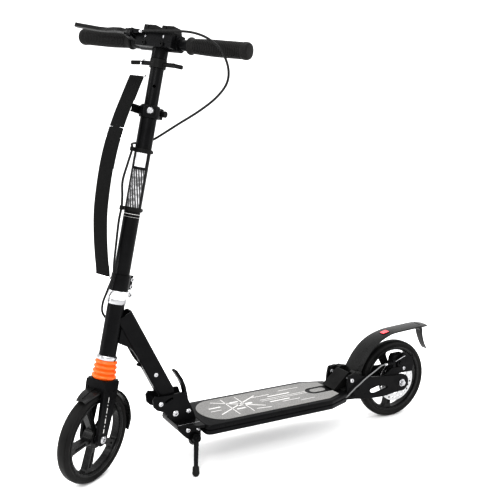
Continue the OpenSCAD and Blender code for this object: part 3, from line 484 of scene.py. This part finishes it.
def coil(name, hub, radius, start, travel, turns, wire, steps):
    """Spring wound round an axis along y in the rear frame; start and travel lie along y."""
    path = []
    for k in range(turns * steps + 1):
        turn = 2 * math.pi * k / steps
        path.append(Vector((hub[0] + radius * math.cos(turn), start + travel * k / (turns * steps),
                            hub[1] + radius * math.sin(turn))))
    tube(name, path, wire, "bright_steel", "deck_frame", REAR, sides=8)


# ---------------------------------------------------------------- deck
DECK_TOP = 104
DECK_HALF = 76
DECK_FRONT, DECK_REAR = 566, 172
DECK_TAPER, DECK_TAPER_AT = 24, 235
RIB_Y, RIB_HALF = 26, 2.5
TAPE_T = 1.2


def deck_outline(inset):
    """The deck seen from above, moved inward by inset."""
    half, front, rear = DECK_HALF - inset, DECK_FRONT - inset, DECK_REAR + inset
    corners = [(rear, DECK_TAPER - half), (DECK_TAPER_AT, -half), (front, -half),
               (front, half), (DECK_TAPER_AT, half), (rear, half - DECK_TAPER)]
    return rounded(corners, 14)


def deck():
    """Extrusion with a rounded upper lip, a dark groove, a lower band and an open underside."""
    levels = [(9, 99), (9, 82.6), (7.8, 82), (1.4, 82), (0.7, 82.7), (0.7, 91.5), (2.4, 92.2), (2.4, 94.2),
              (0.4, 95), (0, 96.5), (0, 100.5), (0.5, 102.4), (1.6, 103.6), (3, 104)]
    loops = [[place(REAR, (x, y, z)) for x, y in deck_outline(inset)] for inset, z in levels]
    loft("deck_body", loops, "frame_black", "deck_frame", ["deck"], sharp=50)
    for side, label in SIDES:
        rib = bar_of(DECK_REAR + 9, DECK_FRONT - 9, side * RIB_Y - RIB_HALF, side * RIB_Y + RIB_HALF)
        plate("deck_rib_" + label, rib, 88, 99.2, REAR, "frame_black", "deck_frame", axis="z")


def tape_marks():
    """Pale lines and blocks on the grip tape, in no lettering."""
    top = DECK_TOP + TAPE_T
    strokes = [((500, -44), (392, 30), 3.2), ((508, 34), (386, -38), 3.2), ((470, -50), (470, 50), 2.0),
               ((432, -50), (432, 48), 2.0), ((388, 4), (262, 4), 1.6), ((388, -4), (262, -4), 1.6),
               ((372, 16), (318, 16), 4.5), ((360, -16), (300, -16), 4.5), ((344, 27), (296, 27), 2.2),
               ((398, -28), (350, -28), 2.2), ((520, -10), (490, -10), 5.0), ((523, 8), (496, 8), 2.6),
               ((462, 20), (440, 20), 6.0), ((460, -22), (438, -22), 6.0), ((420, 38), (384, 44), 3.0),
               ((300, 40), (262, 40), 1.8), ((318, -38), (262, -38), 1.8), ((448, 0), (412, 0), 8.0)]
    points, faces = [], []
    for start, end, width in strokes:
        a, b = Vector(start), Vector(end)
        side = Vector((-(b - a).y, (b - a).x)).normalized() * width / 2
        base = len(points)
        for height in (top - 0.1, top + 0.15):
            points += [place(REAR, (*p, height)) for p in (a - side, b - side, b + side, a + side)]
        faces += [(base, base + 1, base + 2, base + 3), (base + 4, base + 5, base + 6, base + 7)]
        faces += [(base + k, base + (k + 1) % 4, base + 4 + (k + 1) % 4, base + 4 + k) for k in range(4)]
    add_piece("tape_marks", mesh_of("tape_marks", points, faces), "tape_white", "deck_frame")


# ---------------------------------------------------------------- wheels
def tyre(name, matrix, body, node):
    """Cast tyre with a rounded tread, fine shoulder grooves and a raised side band."""
    half = [(100, 0), (100, 5), (99.5, 7.6), (99.0, 8.4), (98.5, 8.6), (98.7, 9.4), (97.6, 11.4),
            (95.6, 13.6), (93.2, 14.4), (90.6, 14.2), (89.0, 13.5), (88.4, 12.6), (86.4, 12.4),
            (84.4, 11.8), (84.1, 10)]
    profile = half + [(r, -z) for r, z in reversed(half[1:])]
    lathe(name, profile, matrix @ SPIN_Y, "tyre_black", body, [node], 160)


def hub_caps(prefix, matrix, body, faces):
    """Ringed caps round the bearings on both faces of a hub."""
    for label, side in faces:
        profile = [(9, 12.1), (15.5, 12.1), (16, 12.6), (17.8, 12.6), (18.4, 12.1), (20.6, 12.1),
                   (21.2, 11.6), (21.2, 11.2), (9, 11.2)]
        lathe(prefix + "_cap_" + label, [(r, side * z) for r, z in profile], matrix @ SPIN_Y,
              "gloss_black", body, steps=64)


def rim_lips(prefix, matrix, body):
    """Thin lips where the rim meets the tyre."""
    for label, side in (("left", -1), ("right", 1)):
        profile = [(80.4, 12.05), (83.9, 12.05), (84.2, 12.6), (83.2, 13.0), (81.2, 12.9)]
        lathe(prefix + "_lip_" + label, [(r, side * z) for r, z in profile], matrix @ SPIN_Y,
              "gloss_black", body, steps=128)


# ---------------------------------------------------------------- fenders
FENDER_R, RIDGE_R = 108.4, 109
ACROSS_SHELL = (-1, -0.92, -0.7, -0.4, 0, 0.4, 0.7, 0.92, 1)
LIP_T = 1.8
REAR_FENDER_HALF = 22.8
FLAP_LOW, FLAP_TALL = 163, 68


def shell(name, spine, widths, lips, matrix, body, node, thickness, crown):
    """Crowned fender skin with turned-down lips along a spine of [x, z] points; outside first."""
    rows = []
    count = len(spine)
    for i, (x, z) in enumerate(spine):
        before, after = Vector(spine[max(i - 1, 0)]), Vector(spine[min(i + 1, count - 1)])
        ahead = (after - before).normalized()
        out = Vector((ahead.y, -ahead.x))
        half, lip = widths[i], lips[i]
        outer = [(half * v, -crown * v * v) for v in ACROSS_SHELL]
        outer = [(-half, -crown - lip)] + outer + [(half, -crown - lip)]
        inner = [(-half + LIP_T, -crown - lip)] + [(v * 0.93, d - thickness) for v, d in outer[1:-1]]
        inner += [(half - LIP_T, -crown - lip)]
        rows.append([place(matrix, (x + out.x * d, y, z + out.y * d)) for y, d in outer + inner[::-1]])
    loft(name, rows, "gloss_black", body, [node], sharp=50)


def front_fender():
    """Short fender over the front wheel, with a ridge along it and a saddle under the crown."""
    angles = [math.radians(a) for a in range(37, -91, -1)]
    spine = [(FENDER_R * math.sin(a), FENDER_R * math.cos(a)) for a in angles]
    widths = []
    for i in range(len(spine)):
        tip = min(1, 0.62 + 0.38 * math.sin(min(i / 22, 1) * math.pi / 2))
        tail = min(1, 0.8 + 0.2 * min((len(spine) - 1 - i) / 14, 1))
        widths.append(17.8 * tip * tail)
    shell("front_fender_skin", spine, widths, [4.6] * len(spine), STEERED, "fork", "front_fender", 2.4, 1.6)
    ridge = [(RIDGE_R * math.sin(math.radians(a)), 0, RIDGE_R * math.cos(math.radians(a)))
             for a in range(-78, 34, 3)]
    tube("front_fender_ridge", ridge, 1.1, "gloss_black", "fork", STEERED, sides=10)
    plate("front_fender_saddle", bar_of(-22.5, 22.5, 104.8, 110.4), -17.2, 17.2, STEERED, "frame_black",
          "fork")


def rear_fender():
    """Crown with deep front sides, a narrow curved flap, ears, a bridge and a reflector."""
    outline = [(133.6, 134), (128.6, 147), (119.6, 162.3), (106.2, 180.6), (86.8, 199.6), (66.8, 212.2),
               (46, 220.7), (26, 225.7), (5, 229.2), (-36, 231.7), (-80, 233.7), (-102.6, 232.8)]
    spine = [tuple(p) for p in smooth(outline, 6)]
    last = len(spine) - 1
    widths = [REAR_FENDER_HALF * (0.8 + 0.2 * min(1, (last - i) / 5)) for i in range(len(spine))]
    lips = [3.4 + 14.6 * max(0, (x - 20) / 114) for x, _ in spine]
    shell("rear_fender_skin", spine, widths, lips, REAR, "rear_fender", "rear_fender", 2.8, 1.4)
    line = smooth([(-80, 231), (-90, 220), (-93, 206), (-98, 190), (-105, 175), (-113, 163.3)], 5)
    outer, inner = [], []
    for i, point in enumerate(line):
        ahead = (line[min(i + 1, len(line) - 1)] - line[max(i - 1, 0)]).normalized()
        upward = max(0, point.y - FLAP_LOW) / FLAP_TALL
        side = Vector((-ahead.y, ahead.x)) * (0.5 + 4.6 * upward ** 2)
        outer.append(tuple(point - side))
        inner.append(tuple(point + side))
    plate("rear_fender_flap", outer + inner[::-1], -10.3, 10.3, REAR, "gloss_black", "rear_fender", edge=0.4)
    ear = rounded([(133, 128), (132.6, 148), (146, 147), (160, 143), (168, 132), (160, 122.2),
                   (148, 124)], 5)
    bridge = rounded([(119, 130.8), (122.6, 145.6), (140.5, 149), (147, 145.6), (147.4, 128.8)], 2.5)
    for side, label in SIDES:
        low, high = sorted((side * 36.7, side * 39.5))
        plate("fender_ear_" + label, ear, low, high, REAR, "gloss_black", "rear_fender")
        low, high = sorted((side * 20.5, side * 37.2))
        plate("fender_bridge_" + label, bridge, low, high, REAR, "gloss_black", "rear_fender", edge=1.0)
    lens = rounded(bar_of(-9.5, 9.5, -8, 8), 3)
    top = Matrix.Translation(place(REAR, (28, 5, 225.2))) @ Matrix.Rotation(math.radians(13), 4, "Y")
    plate("reflector_housing", [(x * 1.18, y * 1.12) for x, y in lens], -1.4, 0.9, top, "plastic_black",
          "rear_fender", edge=0.5, axis="z")
    plate("rear_reflector", lens, 0.5, 2.2, top, "reflector_red", "rear_fender", edge=0.7, axis="z")


# ---------------------------------------------------------------- fork
def bellows():
    """Four soft ribs that narrow towards the top."""
    low, high, ribs = 127.3, 167.6, 4
    pitch = (high - low) / ribs
    outer = []
    for rib in range(ribs):
        crest = 26.0 - 0.8 * rib
        for k in range(12):
            t = k / 12
            dip = 3.4 * (0.5 + 0.5 * math.cos(2 * math.pi * t)) ** 1.4
            outer.append((crest - dip, low + pitch * (rib + t)))
    outer.append((19.8, high))
    inner = [(r - 2.4, z) for r, z in outer]
    skin = lathe("bellows_skin", outer + inner[::-1], STEERED, "bellows_orange", None, ["fork_bellows"],
                 sharp=60)
    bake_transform(skin)


# ---------------------------------------------------------------- handlebar
def grip(name, side, node):
    """Rubber grip with a flange, ribs, a palm swelling and a domed end."""
    def palm(turn, along):
        bell = math.exp(-((abs(along) - 138) / 34) ** 2)
        return 1 + 0.07 * bell * math.cos(turn - math.pi)

    profile = [(11.2, 68.2), (13.6, 68.2), (16.8, 69.6), (17.4, 71.4), (17.4, 74.6), (16.2, 76.4),
               (14.9, 78.4)]
    for k in range(27):
        base = 82 + k * 4.0
        swell = 15.0 + 1.5 * math.sin(min(max((base - 84) / 62, 0), 1) * math.pi * 0.62)
        groove = swell - 0.55
        profile += [(swell, base), (swell + 0.1, base + 2.7), (groove, base + 3.0), (groove, base + 3.7)]
    profile += [(15.9, 191), (16.9, 194), (17.3, 198), (16.9, 202.4), (15, 206), (12.6, 206.9),
                (0.02, 206.9), (0.02, 204.2), (11.2, 204.2)]
    lathe(name, [(r, side * z) for r, z in profile], BAR @ SPIN_Y, "grip_rubber", "tbar", [node], 72, 50,
          palm)


def column_print():
    """Printed films on the lower tube and a thin white line below them."""
    def film(name, low, high, reach, material, radius):
        steps = 24
        loops = []
        for i in range(steps + 1):
            turn = PRINT_SIDE - reach + 2 * reach * i / steps
            c, s = math.cos(turn), math.sin(turn)
            loops.append([place(STEERED, (r * c, r * s, z)) for r, z in
                          ((radius, low), (radius, high), (radius - 0.3, high), (radius - 0.3, low))])
        loft(name, loops, material, "column")

    film("column_film_border", 488, 571, math.radians(50), "plastic_black", 17.12)
    film("column_film", 490.5, 568.5, math.radians(45), "film_hatched", 17.22)
    film("column_film_pale", 574, 603, math.radians(40), "film_pale", 17.18)
    for name, height, tall in (("column_line_low", 476, 0.9), ("column_line_high", 470, 0.5)):
        lathe(name, bar_of(16.9, 17.2, height, height + tall), STEERED, "tape_white", "column")


# ---------------------------------------------------------------- cables
UPPER_ROUTE = [
    (39.3, -30, 841.9), (39, -12, 843.5), (38, 18, 845.5), (37.5, 58, 848), (35, 94, 848), (33, 128, 840),
    (29, 158, 822), (22, 177, 793), (14, 177, 763), (6, 154, 733), (-3, 114, 703), (-13, 66, 674),
    (-20, 32, 653), (-24, 6, 637), (-22, -12, 628), (-6, -25, 622), (14, -20, 617.5), (20.4, -12.7, 611),
    (20.4, -12.7, 604), (25, -14, 576), (29, -16, 540), (25, -13.5, 510), (22.7, -12.2, 490),
    (22.7, -12.2, 482), (24, -12, 456), (25, -8, 410), (26, -4, 370), (26, 0, 345)]
LOOP_END = 17
FRAME_ROUTE = [
    (21.9, 14, 345), (25, 12, 330), (28, 6, 306), (28, -4, 284), (20, -18, 262), (2, -24, 244),
    (-22, -21, 222), (-46, -18, 198), (-64, -10, 174), (-76, -3, 162)]
TUBE_ROUTE = [(24, -1, 139), (17, 0, 129), (6, 0, 112), (-4, 0, 92), (-10, 0, 70), (-10, 0, 46),
              (-10, 0, 16), (-9.6, 0, -12.6)]
REAR_ROUTE = [
    (591, 0, 111), (591, 3, 98), (588, 12, 86), (579, 25, 82), (566, 32, 88), (546, 32, 88), (520, 38, 91),
    (460, 44, 93), (380, 46, 93), (300, 48, 93), (230, 50, 93), (196, 50, 93), (176, 50, 93.5),
    (164, 51, 102), (150, 52, 113), (138, 52, 120), (120, 50, 130), (84, 48, 147), (66, 46.5, 155),
    (50, 46.5, 156)]
WIRE_ROUTE = [(38, 46.3, 156), (24, 45.6, 158), (8, 44.6, 163), (-9, 45.2, 169)]
NECK_END, TUBE_END, HINGE_END = 4, 16, 19
CABLE_R, REAR_CABLE_R, WIRE_R = 2.3, 1.8, 0.75


def cables():
    """The brake cable in stretches: each rides one body, or rides none where it runs between two."""
    steps = 6
    path = smooth(UPPER_ROUTE, steps)
    piece = tube("cable_loop", path[:LOOP_END * steps + 1], CABLE_R, "cable_black", None, STEERED,
                 ["brake_cable_upper"])
    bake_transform(piece)
    tube("cable_run", path[LOOP_END * steps:], CABLE_R, "cable_black", "column", STEERED)
    to_rear = REAR.inverted()
    route = [to_rear @ COLUMN @ (Vector(p) * MM) / MM for p in FRAME_ROUTE]
    route += [to_rear @ TUBE @ (Vector(p) * MM) / MM for p in TUBE_ROUTE]
    path = smooth(route + REAR_ROUTE, steps)
    piece = tube("cable_neck", path[:NECK_END * steps + 1], CABLE_R, "cable_black", None, REAR,
                 ["brake_cable_frame"])
    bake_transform(piece)
    inside = path[NECK_END * steps:TUBE_END * steps + 1]
    tube("cable_down_tube", inside, CABLE_R, "cable_black", "front_frame", REAR)
    bend = path[TUBE_END * steps:HINGE_END * steps + 1]
    piece = tube("cable_hinge", bend, CABLE_R, "cable_black", None, REAR)
    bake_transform(piece)
    tube("cable_rear", path[HINGE_END * steps:], REAR_CABLE_R, "cable_grey", "deck_frame", REAR,
         ["brake_cable_rear"])
    ferrule = [(0.6, 0), (3.2, 0), (3.4, 0.6), (3.4, 7.4), (3.0, 8.2), (2.4, 8.2), (0.6, 8.2)]
    at_lever = Matrix.Translation(Vector((39.3, -31, 841.9)) * MM)
    at_caliper = Matrix.Translation(Vector((49.6, 46.5, 156)) * MM)
    spin_x = Matrix.Rotation(math.radians(90), 4, "Y")
    lathe("ferrule_lever", ferrule, STEERED @ at_lever @ SPIN_Y, "bright_steel", "tbar", steps=32)
    lathe("ferrule_caliper", ferrule, REAR @ at_caliper @ spin_x, "bright_steel", "deck_frame", steps=32)
    piece = tube("brake_wire", WIRE_ROUTE, WIRE_R, "bright_steel", None, REAR, sides=8)
    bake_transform(piece)


# ---------------------------------------------------------------- strap
STRAP_ROUTE = [(8, -42, 757), (31, -36, 712), (44, -37, 672.6), (51, -39, 634), (58, -39, 585),
               (60.5, -38.3, 535), (56.6, -37.5, 480), (44, -38, 430), (26, -41, 385), (6.6, -45, 350),
               (-0.5, -47, 338)]
STRAP_ENDS = (("strap_top", Vector((8, -42, 759.3)), "tbar"),
              ("strap_low", Vector((-0.5, -47, 335.8)), "column"))
STRAP_W, STRAP_T = 34.4, 1.6
STRAP_ACROSS = Vector((0, 1, 0))
BAR_REACH = STRAP_ACROSS * (STRAP_W / 2 + 2.2)
SLIDER_AT, SLIDER_TALL, SLIDER_WIRE = 18, 22, 0.8


def strap_band(name, path, offset, thickness, nodes=(), width=STRAP_W):
    """Webbing whose edges curl a little, more and less along its length."""
    loops = []
    count = len(path)
    for i, point in enumerate(path):
        ahead = (path[min(i + 1, count - 1)] - path[max(i - 1, 0)]).normalized()
        out = ahead.cross(STRAP_ACROSS).normalized()
        loop = []
        for side in (1, -1):
            for k in range(9):
                v = (k / 4 - 1) * side
                curl = 0.5 * v * v * math.sin(i * 0.35)
                edge = 0.75 if abs(v) == 1 else 1.0
                height = offset + curl + side * thickness / 2 * edge
                loop.append(place(STEERED, point + STRAP_ACROSS * v * width / 2 + out * height))
        loops.append(loop)
    return loft(name, loops, "webbing_black", None, nodes, sharp=60)


def slider_loop(name, centre, ahead):
    """Rectangular wire loop with rounded corners that the webbing is threaded through."""
    up = ahead.normalized() * SLIDER_TALL / 2
    corners = [centre + BAR_REACH + up, centre - BAR_REACH + up, centre - BAR_REACH - up,
               centre + BAR_REACH - up]
    outline = []
    for i in range(4):
        before, here, after = (corners[(i + k) % 4] for k in (-1, 0, 1))
        a, b = here + (before - here).normalized() * 2.2, here + (after - here).normalized() * 2.2
        outline += [a * (1 - t) ** 2 + here * 2 * t * (1 - t) + b * t * t for t in (0, 0.33, 0.67, 1)]
    return tube(name, outline, SLIDER_WIRE, "chrome_wire", None, STEERED, sides=12, closed=True)


def strap():
    """Webbing with its sewn turns and slider, and the bars it ends in."""
    def span(piece):
        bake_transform(piece)
        return piece

    path = smooth(STRAP_ROUTE, 6)
    webbing = span(strap_band("strap_webbing", path, 0, STRAP_T, ["carry_strap"]))
    lay = [("strap_turn_top", path[:8]), ("strap_turn_low", path[-9:]),
           ("strap_turn_mid", path[SLIDER_AT - 2:SLIDER_AT + 10])]
    turns = [span(strap_band(name, part, -1.9, 1.3, width=STRAP_W - 0.6)) for name, part in lay]
    ahead = path[SLIDER_AT + 1] - path[SLIDER_AT - 1]
    turns.append(span(slider_loop("strap_slider_loop", path[SLIDER_AT], ahead)))
    knob = [(0.05, -1.6), (2.4, -1.6), (2.9, -0.8), (2.9, 0.8), (2.4, 1.6), (0.05, 1.6)]
    for name, centre, body in STRAP_ENDS:
        bar = [centre + BAR_REACH * (t / 8 - 1) for t in range(17)]
        tube(name + "_bar", bar, 2.0, "chrome_wire", body, STEERED, sides=14)
        for side, label in ((-1, "a"), (1, "b")):
            end = Matrix.Translation((centre + BAR_REACH * side) * MM) @ SPIN_Y
            lathe(name + "_end_" + label, knob, STEERED @ end, "chrome_wire", body, steps=24)


# ---------------------------------------------------------------- small parts
SCREW_HEAD = [(0.05, 36.05), (4.4, 36.05), (4.7, 36.6), (4.7, 38.6), (4.2, 39.2), (2.4, 39.2),
              (2.2, 38.2), (0.05, 38.2)]
TUBE_BOLT_HEAD = [(0.05, 0), (4.6, 0), (4.8, 0.5), (4.8, 2.0), (4.2, 2.6), (2.5, 2.6), (2.3, 1.0),
                  (0.05, 1.0)]
TUBE_BOLT_AT = (-110.7, 15.7, 142.9)
FORK_DASHES = [(14, 23, 3.0), (27, 31, 2.0), (35, 46, 2.6), (49, 53, 1.6), (57, 69, 2.2), (73, 76, 1.4),
               (80, 92, 1.8)]


def fender_springs():
    """Torsion springs that lift the rear fender, wound round its pivot bolt."""
    for side, label in SIDES:
        coil("fender_spring_" + label, (158, 131), 5.6, side * 33.9, side * 2.2, 3, 0.55, 16)


def brake_details():
    """Screws, fins and return spring of the caliper."""
    for i, (x, z) in enumerate([(-12, 134), (22, 136)]):
        matrix = REAR @ Matrix.Translation((x * MM, 0, z * MM)) @ SPIN_Y
        lathe("caliper_screw_%d" % i, SCREW_HEAD, matrix, "bright_steel", "deck_frame", steps=32)
    for i in range(4):
        z = 150 + 4.4 * i
        plate("caliper_fin_%d" % i, bar_of(-47.5, -44.5, z, z + 1.8), 26, 35, REAR, "frame_black",
              "deck_frame", edge=0.4)
    coil("caliper_spring", (4, 152), 7.4, 36.6, 3.2, 4, 0.45, 14)


def fork_marks():
    """Pale dashes down the outside of each fork leg, in no lettering."""
    for side, label in SIDES:
        low, high = sorted((side * 24.4, side * 24.62))
        for i, (start, end, width) in enumerate(FORK_DASHES):
            left, right = 0.02 * start - width / 2, 0.02 * start + width / 2
            dash = [(left, start), (right, start), (right + 0.6, end), (left + 0.6, end)]
            plate("fork_mark_%s_%d" % (label, i), dash, low, high, STEERED, "tape_white", "fork", edge=0)


def block_details():
    """Seam and slots of the T casting."""
    plate("block_seam", bar_of(-12.6, 30.3, -0.35, 0.35), -44.4, 44.4, BAR, "plastic_black", "tbar",
          edge=0.1)
    for y in (-22, 22):
        plate("block_slot_%d" % (y + 22), bar_of(24, 29, 4.6, 11.2), y - 2.1, y + 2.1, BAR, "bright_steel",
              "tbar", edge=0.4)


def tube_bolts():
    """Bolt through the down tube that holds the knuckle's plug."""
    back, aside, up = TUBE_BOLT_AT
    for side, label in SIDES:
        matrix = COLUMN @ Matrix.Translation(Vector((back, side * aside, up)) * MM) @ SPIN_Y
        head = [(r, side * z) for r, z in TUBE_BOLT_HEAD]
        lathe("tube_bolt_" + label, head, matrix, "bright_steel", "front_frame", steps=32)


def hardware_plates():
    """Bright edge strip over the front casting's side screws."""
    for side, label in SIDES:
        low, high = sorted((side * 42.2, side * 43.6))
        plate("bracket_trim_" + label, bar_of(568, 620, 103.7, 104.5), low, high, REAR, "bright_steel",
              "deck_frame", edge=0.2)


# ---------------------------------------------------------------- finished CAD nodes
EDGE_OF_NODE = {
    "grip_tape": 0.3, "front_bracket": 1.0, "hinge_plate_left": 0.9, "hinge_plate_right": 0.9,
    "fold_pivot_bolt": 0.4, "rear_block": 1.2, "rear_arm_left": 1.0, "rear_arm_right": 1.0,
    "rear_axle": 0.4, "fender_pivot": 0.2, "brake_caliper": 0.8, "hinge_knuckle": 0.8, "down_tube": 0.4,
    "head_tube": 0.4, "headset": 0.3, "release_lever": 1.5, "steerer_tube": 0.2, "headset_clamp": 0.6,
    "column_collar": 0.8, "lower_column": 0.4, "clamp_bolts": 0.3, "qr_clamp": 0.8, "cable_clips": 0.4,
    "strap_hook_lower": 0, "strap_hook_upper": 0, "qr_lever": 0.6, "height_button": 0.4, "fork": 1.2,
    "front_axle": 0.4, "front_rim": 0.8, "front_bearings": 0.2, "rear_rim": 0.8, "rear_bearings": 0.2,
    "brake_rotor": 0.2, "upper_tube": 0.3, "bar_block": 1.2, "handlebar": 0.3, "bar_clamps": 1.0,
    "strap_bracket": 0.6, "brake_perch": 0.8, "brake_lever": 1.8, "caliper_arm": 0.6,
    "kickstand_leg": 0.4, "kickstand_foot": 0.4, "fork_stanchion": 0.2, "suspension_elastomer": 0.8,
}


def is_painted_screw(middle):
    """The rear arms' screws and the kickstand's screw are black; the hinge's are bright."""
    return middle.x < REAR_AXLE.x + 0.17 or (middle.z < 0.083 and middle.y > 0.03)


def is_quick_release_nut(middle):
    """The nut is the end of the quick-release axle on the rider's left."""
    return (STEERED.inverted() @ middle).y > 0.0119


def finished_nodes():
    """Every CAD node that keeps its own shape, with rounded edges and its material."""
    for node, edge in EDGE_OF_NODE.items():
        refine(node, edge)
    refine("deck_bolts", 0.3, "frame_black", is_painted_screw, "painted")
    refine("deck_bolts", 0.3, None, lambda middle: not is_painted_screw(middle), "bright")
    refine("qr_axle", 0.3, "plastic_black", is_quick_release_nut, "nut")
    refine("qr_axle", 0.3, None, lambda middle: not is_quick_release_nut(middle), "shaft")


# ---------------------------------------------------------------- camera, lights, floor
CAMERA_PLACE = (1.272 + REAR_AXLE.x, 1.521, 0.765)
CAMERA_TURN, CAMERA_DOWN, CAMERA_ROLL = 150.72, 9.65, 0.27
LENS = 56.31
FLOOR_HALF, FLOOR_GAP = 9.0, 0.0005


def camera():
    """The camera stands ahead of the scooter and to its left, and looks slightly down."""
    turn, down = math.radians(CAMERA_TURN), math.radians(CAMERA_DOWN)
    aim = Vector((-math.sin(turn) * math.cos(down), math.cos(turn) * math.cos(down), -math.sin(down)))
    data = bpy.data.cameras.new("camera")
    data.lens = LENS
    data.sensor_width = 36
    data.clip_start = 0.05
    eye = bpy.data.objects.new("camera", data)
    eye.rotation_mode = "QUATERNION"
    eye.location = CAMERA_PLACE
    eye.rotation_quaternion = (aim.to_track_quat("-Z", "Y").to_matrix()
                               @ Matrix.Rotation(math.radians(CAMERA_ROLL), 3, "Z")).to_quaternion()
    bpy.context.scene.collection.objects.link(eye)
    bpy.context.scene.camera = eye


def lamp(name, place_at, aim_at, size, power, tall):
    """Rectangular soft light turned towards a point."""
    data = bpy.data.lights.new(name, "AREA")
    data.shape = "RECTANGLE"
    data.size = size
    data.size_y = tall
    data.energy = power
    light = bpy.data.objects.new(name, data)
    light.location = place_at
    light.rotation_mode = "QUATERNION"
    light.rotation_quaternion = (Vector(aim_at) - Vector(place_at)).to_track_quat("-Z", "Y")
    bpy.context.scene.collection.objects.link(light)


def studio():
    """A pale floor, an even white surround and four soft lights."""
    mesh = bpy.data.meshes.new("floor")
    corners = [(x, y, 0) for x, y in bar_of(-FLOOR_HALF, FLOOR_HALF, -FLOOR_HALF, FLOOR_HALF)]
    mesh.from_pydata(corners, [], [(0, 1, 2, 3)])
    floor = bpy.data.objects.new("floor", mesh)
    floor.location.z = -FLOOR_GAP
    material, tree, bsdf, where = shader("floor_paper")
    bsdf.inputs["Base Color"].default_value = (0.96, 0.96, 0.96, 1)
    tree.links.new(spread(tree, noise(tree, where, 3, 3), 0.75, 0.85), bsdf.inputs["Roughness"])
    mesh.materials.append(material)
    bpy.context.scene.collection.objects.link(floor)
    world = bpy.data.worlds.new("studio")
    world.use_nodes = True
    world.node_tree.nodes["Background"].inputs["Color"].default_value = (1, 1, 1, 1)
    world.node_tree.nodes["Background"].inputs["Strength"].default_value = 1.0
    bpy.context.scene.world = world
    bpy.context.scene.view_settings.view_transform = "Standard"
    bpy.context.scene.view_settings.look = "High Contrast"
    lamp("key", (1.6, 2.2, 2.2), (0, 0, 0.4), 1.2, 42, 1.6)
    lamp("side", (-2.2, 1.6, 1.1), (0, 0, 0.35), 0.6, 16, 2.0)
    lamp("front", (2.4, -0.6, 1.3), (0.2, 0, 0.4), 0.5, 18, 2.2)
    lamp("top", (0, 0, 2.8), (0, 0, 0), 2.0, 24, 1.2)


# ---------------------------------------------------------------- build
camera()
studio()
deck()
tape_marks()
tyre("front_tyre_rubber", STEERED, "front_wheel", "front_tyre")
tyre("rear_tyre_rubber", REAR_HUB, "rear_wheel", "rear_tyre")
hub_caps("front_hub", STEERED, "front_wheel", (("left", 1), ("right", -1)))
hub_caps("rear_hub", REAR_HUB, "rear_wheel", (("right", -1),))
rim_lips("front_rim", STEERED, "front_wheel")
rim_lips("rear_rim", REAR_HUB, "rear_wheel")
front_fender()
rear_fender()
bellows()
grip("grip_left_rubber", 1, "grip_left")
grip("grip_right_rubber", -1, "grip_right")
column_print()
cables()
finished_nodes()
strap()
fender_springs()
brake_details()
block_details()
fork_marks()
tube_bolts()
hardware_plates()
